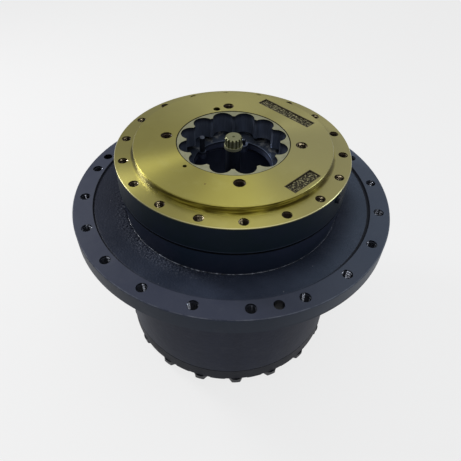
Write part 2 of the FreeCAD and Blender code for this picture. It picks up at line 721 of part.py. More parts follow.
def bearing(name, foot, lean):
    """Races and rollers of one bearing; lean is 1 where the raceways widen upward, else -1."""
    rise = f"(bearing_width / 2 * tan(contact_angle) * {lean})"
    top = f"({foot} + bearing_width)"
    tube_inner = f"({RACE_INNER} + seat_clearance)"
    tube_outer = f"({RACE_OUTER} - seat_clearance)"
    turned_ring(f"{name}_inner_race", [
        (tube_inner, foot),
        (f"{raceway(-1)} - {rise}", foot),
        (f"{raceway(-1)} + {rise}", top),
        (tube_inner, top),
    ])
    turned_ring(f"{name}_outer_race", [
        (f"{raceway(1)} - {rise}", foot),
        (tube_outer, foot),
        (tube_outer, top),
        (f"{raceway(1)} + {rise}", top),
    ])
    length = size("roller_length")
    roller = Part.makeCylinder(size("roller_radius"), length, FreeCAD.Vector(0, 0, -length / 2))
    tilt = FreeCAD.Placement(FreeCAD.Vector(), FreeCAD.Rotation(FreeCAD.Vector(0, 1, 0),
                                                              lean * size("contact_angle")))
    middle = size(foot) + size("bearing_width") / 2
    turns = angles(int(size("roller_count")))
    places = [drilled(middle, turn, size(RACE_MIDDLE)).multiply(tilt) for turn in turns]
    group(f"{name}_rollers", copies(roller, places))


# Face seal


def face_seal(name, side):
    """Lapped ring and rubber ring of one half; side is 1 for the fixed upper half and -1 for the lower."""
    near = f"({SEAL_PLANE} + {side} * face_gap)"
    far = f"({near} + {side} * seal_ring_height)"
    outer = f"({SEAL_INNER} + seal_ring_width)"
    waist = f"({outer} - seal_lip)"
    turned_ring(f"{name}_seal_ring", [
        (SEAL_INNER, near),
        (outer, near),
        (outer, f"{near} + {side} * seal_lip"),
        (waist, f"{near} + {side} * 1.25 * seal_lip"),
        (waist, far),
        (SEAL_INNER, far),
    ])
    inside = f"({waist} + seat_clearance)"
    outside = f"({SEAL_MOUTH} - seat_clearance)"
    foot = f"({near} + {side} * (1.25 * seal_lip + face_gap))"
    head = f"({foot} + {side} * seal_cushion_height)"
    bevel = "(seal_cushion_height / 3)"
    turned_ring(f"{name}_seal_cushion", [
        (f"{inside} + {bevel}", foot),
        (f"{outside} - {bevel}", foot),
        (outside, f"{foot} + {side} * {bevel}"),
        (outside, f"{head} - {side} * {bevel}"),
        (f"{outside} - {bevel}", head),
        (f"{inside} + {bevel}", head),
        (inside, f"{head} - {side} * {bevel}"),
        (inside, f"{foot} + {side} * {bevel}"),
    ])


# The spindle and what stands still with it


def spindle():
    """Fixed hub: frame flange with pilot, skirt, bearing journal and bolted tail."""
    body = new_body("spindle")
    shoulder = f"({RACE_INNER} + journal_shoulder)"
    revolve(body, "spindle_turned", [
        ("tail_bore", TAIL_END),
        (RACE_INNER, TAIL_END),
        (RACE_INNER, BEARING_TOP),
        (shoulder, BEARING_TOP),
        (shoulder, f"{SKIRT_FOOT} + seal_chamber_rise"),
        (SEAL_MOUTH, f"{SKIRT_FOOT} + seal_chamber_rise"),
        (SEAL_MOUTH, SKIRT_FOOT),
        ("skirt_radius", SKIRT_FOOT),
        ("skirt_radius", FRAME_FACE),
        (PILOT_RADIUS, FRAME_FACE),
        (PILOT_RADIUS, PILOT_FACE),
        ("socket_radius", PILOT_FACE),
        ("socket_radius", SLOT_FOOT),
        (RING_SEAT, SLOT_FOOT),
        (RING_SEAT, LEDGE_TOP),
        ("throat_radius", LEDGE_TOP),
        ("throat_radius", f"{LEDGE_TOP} - ledge_thickness"),
        ("relief_radius", f"{LEDGE_TOP} - ledge_thickness - (relief_radius - throat_radius)"),
        ("relief_radius", f"{LEDGE_TOP} - ledge_thickness - relief_height"),
        ("tail_bore", f"{LEDGE_TOP} - ledge_thickness - relief_height - (relief_radius - tail_bore)"),
    ])
    soften(body, "Chamfer", "face_edges",
           [("skirt_radius", FRAME_FACE), (PILOT_RADIUS, PILOT_FACE), ("socket_radius", PILOT_FACE)],
           "rim_step / 3")
    hole_circle(body, "frame_holes", FRAME_FACE, FRAME_CIRCLE, "frame_phase", "frame_hole",
                "frame_hole_depth", "frame_count")
    across = "motor_circle * cos(motor_angle)"
    along = "motor_circle * sin(motor_angle)"
    pocket(body, "motor_holes", PILOT_FACE, [
        (across, along, "motor_hole"),
        (f"-{across}", along, "motor_hole"),
        (f"-{across}", f"-{along}", "motor_hole"),
        (across, f"-{along}", "motor_hole"),
    ], "motor_hole_depth")
    pocket(body, "dowel_bore", PILOT_FACE, [
        ("dowel_circle * cos(dowel_angle)", "dowel_circle * sin(dowel_angle)", "dowel_hole"),
    ], "dowel_depth")
    pocket(body, "small_port", PILOT_FACE, [("-dowel_circle", "0", "port_hole")], "dowel_depth")
    labels = new_sketch(body, "XY_Plane", "label_sketch", PILOT_FACE)
    add_outline(labels, [
        ("long_label_place - label_width / 2", "-long_label / 2"),
        ("long_label_place + label_width / 2", "-long_label / 2"),
        ("long_label_place + label_width / 2", "long_label / 2"),
        ("long_label_place - label_width / 2", "long_label / 2"),
    ])
    add_outline(labels, [
        ("-short_label / 2", "-short_label_place - label_width / 2"),
        ("short_label / 2", "-short_label_place - label_width / 2"),
        ("short_label / 2", "-short_label_place + label_width / 2"),
        ("-short_label / 2", "-short_label_place + label_width / 2"),
    ])
    recess = body.newObject("PartDesign::Pocket", "label_recesses")
    recess.Profile = labels
    recess.Type = "Length"
    recess.Length = size("label_depth")
    recess.setExpression("Length", bound("label_depth"))
    body.Tip = recess
    turn = "carrier_bolt_spread"
    bolt_places = [
        (f"{CARRIER_BOLTS} * cos(45 + {step} * {turn})",
         f"{CARRIER_BOLTS} * sin(45 + {step} * {turn})",
         "carrier_bolt_size / 2 + seat_clearance") for step in (-1, 0, 1)
    ]
    tail_holes = pocket(body, "tail_holes", TAIL_END, bolt_places,
                        "carrier_bolt_reach + end_play", upward=True)
    polar(body, "tail_hole_circle", tail_holes, "output_planet_count")
    guide_lugs(body)
    for name in GUIDE_PINS:
        across, along = guide_place(name)
        pocket(body, f"{name}_hole", LEDGE_TOP, [(across, along, f"{name}_radius + seat_clearance")],
               "guide_pin_seat")
    skirt_hole = new_sketch(body, "XY_Plane", "skirt_plug_sketch")
    skirt_hole.setExpression("AttachmentOffset.Base.x", bound("skirt_radius * cos(skirt_plug_angle)"))
    skirt_hole.setExpression("AttachmentOffset.Base.y", bound("skirt_radius * sin(skirt_plug_angle)"))
    skirt_hole.setExpression("AttachmentOffset.Base.z", bound(f"{FRAME_FACE} - skirt_plug_drop"))
    across_axis = FreeCAD.Rotation(FreeCAD.Vector(0, 0, 1), size("skirt_plug_angle"))
    outward = across_axis.multiply(FreeCAD.Rotation(FreeCAD.Vector(0, 1, 0), 90))
    skirt_hole.AttachmentOffset = FreeCAD.Placement(skirt_hole.AttachmentOffset.Base, outward)
    add_circle(skirt_hole, "0", "0", "0.6 * skirt_plug_radius + seat_clearance")
    plug_bore = body.newObject("PartDesign::Pocket", "skirt_plug_bore")
    plug_bore.Profile = skirt_hole
    plug_bore.Type = "Length"
    plug_bore.Length = size("skirt_plug_thread")
    plug_bore.setExpression("Length", bound("skirt_plug_thread + end_play"))
    body.Tip = plug_bore
    return body


def guide_place(name, reach="0", shift="0"):
    """Point by a guide pin, moved outward by the reach and to its left by the shift."""
    turn = f"{name}_angle"
    outward = f"({name}_circle + {reach})"
    return (f"{outward} * cos({turn}) - {shift} * sin({turn})",
            f"{outward} * sin({turn}) + {shift} * cos({turn})")


def guide_lugs(body):
    """Two round-ended lugs that reach inward from the ledge, one under each guide pin."""
    for name in GUIDE_PINS:
        root = f"(throat_radius - {name}_circle + guide_lug_radius)"
        tongue = new_sketch(body, "XY_Plane", f"{name}_lug_sketch", LEDGE_TOP)
        add_outline(tongue, [
            guide_place(name, "0", "-guide_lug_radius"),
            guide_place(name, root, "-guide_lug_radius"),
            guide_place(name, root, "guide_lug_radius"),
            guide_place(name, "0", "guide_lug_radius"),
        ])
        tip = new_sketch(body, "XY_Plane", f"{name}_tip_sketch", LEDGE_TOP)
        add_circle(tip, *guide_place(name), "guide_lug_radius")
        for outline, part in ((tongue, "lug"), (tip, "tip")):
            pad = body.newObject("PartDesign::Pad", f"{name}_{part}")
            pad.Profile = outline
            pad.Reversed = True
            pad.Length = size("ledge_thickness")
            pad.setExpression("Length", bound("ledge_thickness"))
            body.Tip = pad


def guide_pins():
    """Round pins that stand in the two lugs of the ledge, with bevelled tops."""
    foot = size(LEDGE_TOP) - size("guide_pin_seat")
    bevel = size("joint_chamfer")
    pieces = []
    for name in GUIDE_PINS:
        radius = size(f"{name}_radius")
        top = size(LEDGE_TOP) + size(f"{name}_height")
        pin = cylinder(radius, foot, top - bevel)
        pin = pin.fuse(Part.makeCone(radius, radius - bevel, bevel, FreeCAD.Vector(0, 0, top - bevel)))
        across, along = guide_place(name)
        pin.translate(FreeCAD.Vector(size(across), size(along), 0))
        pieces.append(pin)
    return group("guide_pins", pieces)


def skirt_plug():
    """Small plug screwed into the side of the skirt."""
    head = cylinder(size("skirt_plug_radius"), 0.2, size("skirt_plug_head"))
    thread = cylinder(0.6 * size("skirt_plug_radius"), -size("skirt_plug_thread"), 0.2)
    outward = FreeCAD.Rotation(FreeCAD.Vector(0, 1, 0), 90)
    level = size(FRAME_FACE) - size("skirt_plug_drop")
    place = drilled(level, size("skirt_plug_angle"), size("skirt_radius"))
    place = place.multiply(FreeCAD.Placement(FreeCAD.Vector(), outward))
    return feature_of("skirt_plug", head.fuse(thread), place)


def brake_slot_ring():
    """Bare steel ring with half-round slots for the ears of the brake plates."""
    body = new_body("brake_slot_ring")
    revolve(body, "slot_ring_turned", [
        ("land_radius", f"{SLOT_FOOT} + face_gap"),
        ("socket_radius - seat_clearance", f"{SLOT_FOOT} + face_gap"),
        ("socket_radius - seat_clearance", SLOT_TOP),
        ("land_radius", SLOT_TOP),
    ])
    hole_circle(body, "slots", SLOT_TOP, "slot_circle", "0", "slot_radius",
                "slot_ring_height", "slot_count")
    return body


def preload_shim():
    """Shim between the spindle's tail and the output carrier."""
    inner = f"({CARRIER_BOLTS} + carrier_bolt_size / 2 + 2 * hole_clearance)"
    return tube("preload_shim", inner, f"{RACE_INNER} - hole_clearance", f"{LOWER_BEARING} + face_gap",
                f"{TAIL_END} - face_gap")


def output_carrier():
    """Plate bolted to the spindle's tail that holds the output planet pins still."""
    body = new_body("output_carrier")
    revolve(body, "carrier_turned", [
        ("carrier_bore", CARRIER_FOOT),
        (CARRIER_RADIUS, CARRIER_FOOT),
        (CARRIER_RADIUS, LOWER_BEARING),
        ("carrier_bore", LOWER_BEARING),
    ])
    hole_circle(body, "pin_bores", LOWER_BEARING, OUTPUT_CENTRES, "0",
                "output_pin_radius + seat_clearance", "carrier_thickness", "output_planet_count")
    turn = "carrier_bolt_spread"
    bores = (
        ("bolt_bores", "carrier_bolt_size / 2 + hole_clearance", "carrier_thickness"),
        ("head_bores", "carrier_head_radius + hole_clearance", "carrier_head_height + end_play"),
    )
    for name, radius, depth in bores:
        places = [(f"{CARRIER_BOLTS} * cos(45 + {step} * {turn})",
                   f"{CARRIER_BOLTS} * sin(45 + {step} * {turn})", radius) for step in (-1, 0, 1)]
        holes = pocket(body, name, CARRIER_FOOT, places, depth, upward=True)
        polar(body, f"{name}_circle", holes, "output_planet_count")
    return body


def carrier_bolts():
    """Socket head screws that hold the output carrier."""
    seat = size(CARRIER_FOOT) + size("carrier_head_height") + size("end_play")
    head = cylinder(size("carrier_head_radius"), seat - size("carrier_head_height"), seat)
    shank = cylinder(size("carrier_bolt_size") / 2, seat, size(TAIL_END) + size("carrier_bolt_reach"))
    bolt = head.fuse(shank)
    spread = size("carrier_bolt_spread")
    turns = [quarter + 45 + step * spread for quarter in angles(int(size("output_planet_count")))
             for step in (-1, 0, 1)]
    places = [drilled(0, turn, size(CARRIER_BOLTS)) for turn in turns]
    return group("carrier_bolts", copies(bolt, places))


def stepped_pin(label, radius, foot, top, centres, turn):
    """A planet pin that stands parallel to the axis."""
    pin = DOC.addObject("Part::Cylinder", label)
    pin.Label = label
    pin.setExpression("Radius", bound(radius))
    pin.setExpression("Height", bound(f"{top} - {foot}"))
    place_at(pin, f"{centres} * cos({turn})", f"{centres} * sin({turn})", foot)
    return pin


def planet(label, teeth, foot, top, bore, centres, turn, phase):
    """A planet gear bored for its bush, placed on its pin."""
    gear = gear_prism(teeth, foot, top, phase)
    gear = gear.cut(cylinder(bore, foot - OVERRUN, top + OVERRUN))
    across = centres * math.cos(math.radians(turn))
    along = centres * math.sin(math.radians(turn))
    return feature_of(label, gear, FreeCAD.Placement(FreeCAD.Vector(across, along, 0), FreeCAD.Rotation()))


def planet_bush(label, inner, outer, foot, top, centres, turn):
    """A bush pressed into a planet."""
    body = tube(label, inner, outer, foot, top)
    place_at(body, f"{centres} * cos({turn})", f"{centres} * sin({turn})")
    return body


def thrust_washers(label, inner, outer, levels, centres, count):
    """Thrust washers on every pin of a stage at the given levels."""
    pieces = []
    for foot in levels:
        top = foot + size("washer_thickness")
        washer = cylinder(outer, foot, top).cut(cylinder(inner, foot, top))
        pieces += copies(washer, [drilled(0, turn, centres) for turn in angles(count)])
    return group(label, pieces)


def output_stage():
    """Four planets between the output sun and the ring gear, on pins that stand still."""
    count = int(size("output_planet_count"))
    teeth = int(size("output_planet_teeth"))
    foot, top = size(OUTPUT_FOOT), size(OUTPUT_TOP)
    bush_outer = "(output_pin_radius + running_clearance + output_bush_wall)"
    for index, turn in enumerate(angles(count), start=1):
        stepped_pin(f"output_pin_{index}", "output_pin_radius", RETAINER_TOP, LOWER_BEARING,
                    OUTPUT_CENTRES, turn)
        planet(f"output_planet_{index}", teeth, foot, top, size(f"{bush_outer} + seat_clearance"),
               size(OUTPUT_CENTRES), turn, planet_phase(int(size("output_sun_teeth")), teeth, turn))
        planet_bush(f"output_bush_{index}", "output_pin_radius + running_clearance", bush_outer,
                    f"{OUTPUT_FOOT} + end_play", f"{OUTPUT_TOP} - end_play", OUTPUT_CENTRES, turn)
    play = size("end_play")
    thrust_washers("output_thrust_washers", size("output_pin_radius") + size("seat_clearance"),
                   size(bush_outer) + size("washer_rim"),
                   [size(RETAINER_TOP) + play, size(OUTPUT_TOP) + play],
                   size(OUTPUT_CENTRES), count)


def sun_phase(sun_teeth, planet_teeth):
    """Turn of a sun's first tooth: the planet on the X axis then points a tooth at the ring gear's space."""
    return 0.0 if planet_teeth % 2 else 180.0 / sun_teeth


def planet_phase(sun_teeth, planet_teeth, turn):
    """Turn of a planet's first tooth, in mesh with its sun where the planet lies at the given angle."""
    pitch = 360.0 / sun_teeth
    ahead = (sun_phase(sun_teeth, planet_teeth) - turn) % pitch
    return turn + 180 - ahead * sun_teeth / planet_teeth + 180.0 / planet_teeth


def output_retainer():
    """Plate that holds the output planets on their pins."""
    body = new_body("output_retainer")
    revolve(body, "retainer_turned", [
        ("retainer_bore", RETAINER_FOOT),
        (RETAINER_RADIUS, RETAINER_FOOT),
        (RETAINER_RADIUS, RETAINER_TOP),
        ("retainer_bore", RETAINER_TOP),
    ])
    hole_circle(body, "retainer_holes", RETAINER_TOP, OUTPUT_CENTRES, "0",
                "retainer_bolt_radius + hole_clearance", "retainer_thickness", "output_planet_count")
    return body


def retainer_bolts():
    """Bolts through the retaining plate into the planet pins."""
    foot = size(RETAINER_FOOT)
    head = bevelled_head(2 * size("retainer_head_radius"), foot - size("retainer_head_height"), foot)
    shank = cylinder(size("retainer_bolt_radius"), foot, size(RETAINER_TOP))
    bolt = head.fuse(shank)
    places = [drilled(0, turn, size(OUTPUT_CENTRES)) for turn in angles(int(size("output_planet_count")))]
    return group("retainer_bolts", copies(bolt, places))


def output_sun():
    """Sun of the output stage, whose lower teeth couple with the first carrier."""
    teeth = int(size("output_sun_teeth"))
    foot = size(FIRST_CARRIER_FOOT) + size("end_play")
    phase = sun_phase(teeth, int(size("output_planet_teeth")))
    gear = gear_prism(teeth, foot, size(OUTPUT_TOP), phase)
    gear = gear.cut(cylinder(size("output_sun_bore"), foot - OVERRUN, size(OUTPUT_TOP) + OVERRUN))
    return feature_of("output_sun", gear)


def first_carrier():
    """Plate that carries the first planets and drives the output sun through its inner teeth."""
    foot, top = size(FIRST_CARRIER_FOOT), size(FIRST_CARRIER_TOP)
    plate = cylinder(size("first_carrier_radius"), foot, top)
    teeth = int(size("output_sun_teeth"))
    phase = sun_phase(teeth, int(size("output_planet_teeth")))
    plate = plate.cut(internal_teeth(teeth, foot - OVERRUN, top + OVERRUN, phase))
    bore = cylinder(size("first_pin_radius") + size("seat_clearance"), foot - OVERRUN, top + OVERRUN)
    turns = angles(int(size("first_planet_count")))
    plate = plate.cut(copies(bore, [drilled(0, turn, size(FIRST_CENTRES)) for turn in turns]))
    return feature_of("first_carrier", plate)


def first_stage():
    """Three planets between the first sun and the ring gear, on the first carrier."""
    count = int(size("first_planet_count"))
    teeth = int(size("first_planet_teeth"))
    foot, top = size(FIRST_FOOT), size(FIRST_TOP)
    bush_outer = "(first_pin_radius + running_clearance + first_bush_wall)"
    pin_foot = f"({FIRST_WASHER_FOOT} - 2 * ring_groove - end_play)"
    for index, turn in enumerate(angles(count), start=1):
        stepped_pin(f"first_pin_{index}", "first_pin_radius", pin_foot, FIRST_CARRIER_TOP,
                    FIRST_CENTRES, turn)
        planet(f"first_planet_{index}", teeth, foot, top, size(f"{bush_outer} + seat_clearance"),
               size(FIRST_CENTRES), turn, planet_phase(int(size("first_sun_teeth")), teeth, turn))
        planet_bush(f"first_bush_{index}", "first_pin_radius + running_clearance", bush_outer,
                    f"{FIRST_FOOT} + end_play", f"{FIRST_TOP} - end_play", FIRST_CENTRES, turn)
    play = size("end_play")
    thrust_washers("first_thrust_washers", size("first_pin_radius") + size("seat_clearance"),
                   size(bush_outer) + size("washer_rim"),
                   [size(FIRST_WASHER_FOOT) + play, size(FIRST_TOP) + play], size(FIRST_CENTRES), count)
    ring_foot = size(FIRST_WASHER_FOOT) - size("ring_groove")
    ring_inner = size("first_pin_radius") + size("seat_clearance")
    ring = cylinder(ring_inner + size("ring_reach"), ring_foot, ring_foot + size("ring_groove"))
    ring = ring.cut(cylinder(ring_inner, ring_foot - OVERRUN, ring_foot + size("ring_groove") + OVERRUN))
    places = [drilled(0, turn, size(FIRST_CENTRES)) for turn in angles(count)]
    group("first_retaining_rings", copies(ring, places))


def input_shaft():
    """Splined input shaft with the first sun cut on its lower end."""
    foot, top = size(SHAFT_FOOT), size(SHAFT_TOP)
    teeth = int(size("first_sun_teeth"))
    spline_teeth = int(size("spline_teeth"))
    spline_module = size("spline_module")
    spline_foot = top - size("spline_length")
    collar_foot = spline_foot - size("collar_height")
    phase = sun_phase(teeth, int(size("first_planet_teeth")))
    sun = gear_prism(teeth, size(FIRST_FOOT) - size("washer_thickness"),
                     size(FIRST_TOP) + size("end_play"), phase)
    stem = cylinder(size("shaft_radius"), foot, collar_foot)
    collar = cylinder(size("collar_radius"), collar_foot, spline_foot)
    pitch = spline_module * spline_teeth / 2
    radii = [pitch - 0.55 * spline_module, pitch + 0.4 * spline_module]
    spline = outline_prism(tooth_outline(spline_teeth, spline_module, radii, 0.0), spline_foot, top)
    tip = radii[-1] + 0.2
    chamfer = size("shaft_chamfer")
    cone = Part.makeCone(tip, tip - chamfer, chamfer, FreeCAD.Vector(0, 0, top - chamfer))
    envelope = cylinder(tip, spline_foot, top - chamfer).fuse(cone)
    shaft = stem.fuse([sun, collar, spline.common(envelope)])
    drill = size("centre_drill")
    shaft = shaft.cut(Part.makeCone(0.2, drill, 2 * drill, FreeCAD.Vector(0, 0, top - 2 * drill)))
    return feature_of("input_shaft", shaft)


def check_and_write():
    """Stop on any failed object, then write each sub-part to its own file."""
    DOC.recompute()
    for thing in DOC.Objects:
        faults = [state for state in thing.State if state in ("Invalid", "Error")]
        if faults:
            raise RuntimeError(f"{thing.Label}: {faults}")
    os.makedirs("parts", exist_ok=True)
    for thing in DOC.Objects:
        is_piece = thing.TypeId in ("PartDesign::Body", "Part::Cylinder")
        is_piece = is_piece or thing.TypeId == "Part::Feature"
        if not is_piece:
            continue
        if thing.Shape.isNull() or not thing.Shape.isValid():
            raise RuntimeError(f"{thing.Label}: bad shape")
        thing.Shape.exportStep(f"parts/{thing.Label}.step")


def main():
    """Build every sub-part, outside to inside, then write them."""
    spindle()
    brake_slot_ring()
    guide_pins()
    skirt_plug()
    hub_housing()
    cover()
    cover_bolts()
    cover_plug("drain_plug", "0")
    cover_plug("level_plug", "level_plug_angle")
    plug_seals()
    cover_o_ring()
    thrust_button()
    ring_gear()
    bearing("upper", UPPER_BEARING, 1)
    bearing("lower", LOWER_BEARING, -1)
    face_seal("fixed", 1)
    face_seal("turning", -1)
    preload_shim()
    output_carrier()
    carrier_bolts()
    output_stage()
    output_retainer()
    retainer_bolts()
    output_sun()
    first_carrier()
    first_stage()
    input_shaft()
    check_and_write()


main()
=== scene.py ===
"""Looks of an excavator final drive: finishes, threads, casting skin, small marks, studio and camera."""
import logging
import math
from abc import ABC, abstractmethod
from dataclasses import dataclass, field
from enum import Enum
from typing import Callable, Sequence

import bmesh
import bpy
from mathutils import Euler, Matrix, Vector, noise


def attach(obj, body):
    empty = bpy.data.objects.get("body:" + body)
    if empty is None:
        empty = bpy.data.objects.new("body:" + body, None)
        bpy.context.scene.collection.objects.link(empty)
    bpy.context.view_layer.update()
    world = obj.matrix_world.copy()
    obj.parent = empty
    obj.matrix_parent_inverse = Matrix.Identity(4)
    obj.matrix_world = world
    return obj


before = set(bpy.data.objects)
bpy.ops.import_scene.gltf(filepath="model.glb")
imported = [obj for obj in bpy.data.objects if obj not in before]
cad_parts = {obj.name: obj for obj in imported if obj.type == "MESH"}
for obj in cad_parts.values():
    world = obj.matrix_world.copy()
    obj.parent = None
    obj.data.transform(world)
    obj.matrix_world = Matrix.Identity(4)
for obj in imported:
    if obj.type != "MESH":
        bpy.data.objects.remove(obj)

MM = 0.001
LOG = logging.getLogger("final_drive")
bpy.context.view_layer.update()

Point = tuple[float, float, float]
Colour = tuple[float, float, float]
Socket = bpy.types.NodeSocket
Material = bpy.types.Material

EVEN: Point = (1.0, 1.0, 1.0)
UPRIGHT: Point = (1.0, 1.0, 0.0)


class Body(Enum):
    """The two rigid bodies that carry added pieces."""

    FIXED = "fixed_side"
    TURNING = "turning_side"


@dataclass(frozen=True)
class Levels:
    """Heights above the floor that several pieces share, in millimetres."""

    flange_underside: float = 309.5
    sprocket_face: float = 343.0
    web_foot: float = 331.0
    neck_top: float = 385.2
    skirt_foot: float = 387.2
    frame_face: float = 438.7
    pilot_face: float = 451.7
    recess_foot: float = 449.7
    slot_top: float = 450.9
    ledge_top: float = 405.5


@dataclass(frozen=True)
class LabelRecess:
    """Middle and half sizes of one milled label recess in the pilot face, in millimetres."""

    across: float
    along: float
    half_across: float
    half_along: float


LEVELS = Levels()
LONG_RECESS = LabelRecess(137.0, 0.0, 10.0, 58.5)
SHORT_RECESS = LabelRecess(0.0, -151.7, 30.0, 10.0)


def linear(red: int, green: int, blue: int) -> Colour:
    """A colour given on the screen's 0 to 255 scale, as linear light.

    Args:
        red: red part.
        green: green part.
        blue: blue part.

    Returns:
        The three linear parts.
    """
    parts = []
    for part in (red, green, blue):
        share = part / 255
        parts.append(share / 12.92 if share <= 0.04045 else ((share + 0.055) / 1.055) ** 2.4)
    return (parts[0], parts[1], parts[2])


class Tree:
    """A node tree, with short calls for the nodes that finishes and surroundings share."""

    def __init__(self, tree: bpy.types.NodeTree) -> None:
        """Take over the tree of a material or of the world."""
        self.nodes = tree.nodes
        self.links = tree.links

    def feed(self, socket: Socket, value: object) -> None:
        """Set a socket, or link it when the value is another socket.

        Args:
            socket: the input.
            value: a number, a colour or an output socket.
        """
        if isinstance(value, Socket):
            self.links.new(value, socket)
        elif isinstance(value, tuple) and socket.type == "RGBA":
            socket.default_value = (*value, 1.0)
        else:
            socket.default_value = value

    def math(self, kind: str, first: object, second: object = 0.0, third: object = 0.0) -> Socket:
        """A maths node.

        Args:
            kind: Blender's name of the operation.
            first: first value.
            second: second value.
            third: third value.

        Returns:
            Its output.
        """
        made = self.nodes.new("ShaderNodeMath")
        made.operation = kind
        for socket, value in zip(made.inputs, (first, second, third)):
            self.feed(socket, value)
        return made.outputs[0]

    def both(self, first: object, *others: object) -> Socket:
        """The product of masks.

        Args:
            first: first mask.
            others: the masks and shares that it is multiplied by, in order.

        Returns:
            The product.
        """
        for other in others:
            first = self.math("MULTIPLY", first, other)
        return first

    def either(self, first: object, second: object) -> Socket:
        """The larger of two masks."""
        return self.math("MAXIMUM", first, second)

    def without(self, mask: object) -> Socket:
        """The inverse of a mask."""
        return self.math("SUBTRACT", 1.0, mask)

    def split(self, place: Socket) -> tuple[Socket, ...]:
        """The three parts of a place.

        Args:
            place: a vector.

        Returns:
            Its X, Y and Z.
        """
        made = self.nodes.new("ShaderNodeSeparateXYZ")
        self.links.new(place, made.inputs[0])
        return tuple(made.outputs)

    def curved(self, value: object, low: float, high: float, bottom: float = 0.0) -> Socket:
        """A value stretched so that low becomes the bottom and high becomes 1, cut off outside.

        Args:
            value: what is stretched.
            low: becomes the bottom.
            high: becomes 1.
            bottom: least value of the result.

        Returns:
            The stretched value.
        """
        made = self.nodes.new("ShaderNodeMapRange")
        for socket, given in zip(made.inputs, (value, low, high, bottom)):
            self.feed(socket, given)
        return made.outputs[0]

    def blend(self, mask: object, first: object, second: object) -> Socket:
        """Colours mixed by a mask.

        Args:
            mask: 0 gives the first, 1 the second.
            first: colour or socket.
            second: colour or socket.

        Returns:
            The mixed colour.
        """
        made = self.nodes.new("ShaderNodeMix")
        made.data_type = "RGBA"
        self.feed(made.inputs[0], mask)
        self.feed(made.inputs[6], first)
        self.feed(made.inputs[7], second)
        return made.outputs[2]

    def between(self, mask: object, first: object, second: object) -> Socket:
        """Numbers mixed by a mask.

        Args:
            mask: 0 gives the first, 1 the second.
            first: number or socket.
            second: number or socket.

        Returns:
            The mixed number.
        """
        made = self.nodes.new("ShaderNodeMix")
        made.data_type = "FLOAT"
        self.feed(made.inputs[0], mask)
        self.feed(made.inputs[2], first)
        self.feed(made.inputs[3], second)
        return made.outputs[0]

    def layered(self, ground: object, *layers: tuple[object, object, object]) -> Socket:
        """Colours laid over a ground, one after the other.

        Args:
            ground: colour or socket under all of them.
            layers: the mask, the share and the colour of each, lowest first.

        Returns:
            The colour on top.
        """
        for mask, share, colour in layers:
            ground = self.blend(self.both(mask, share), ground, colour)
        return ground

    def mixed(self, output: str, mask: object, first: Socket, second: Socket) -> None:
        """Mix two shaders and join them to the tree's output.

        Args:
            output: name of the output node.
            mask: 0 gives the first, 1 the second.
            first: a shader.
            second: a shader.
        """
        made = self.nodes.new("ShaderNodeMixShader")
        for socket, value in zip(made.inputs, (mask, first, second)):
            self.feed(socket, value)
        self.links.new(made.outputs[0], self.nodes[output].inputs[0])

    def seen_directly(self) -> Socket:
        """A mask that is 1 for what the camera, mirrors and glass show.

        Returns:
            The mask.
        """
        path = self.nodes.new("ShaderNodeLightPath")
        mask = path.outputs["Is Camera Ray"]
        for kind in ("Is Glossy Ray", "Is Transmission Ray"):
            mask = self.either(mask, path.outputs[kind])
        return mask


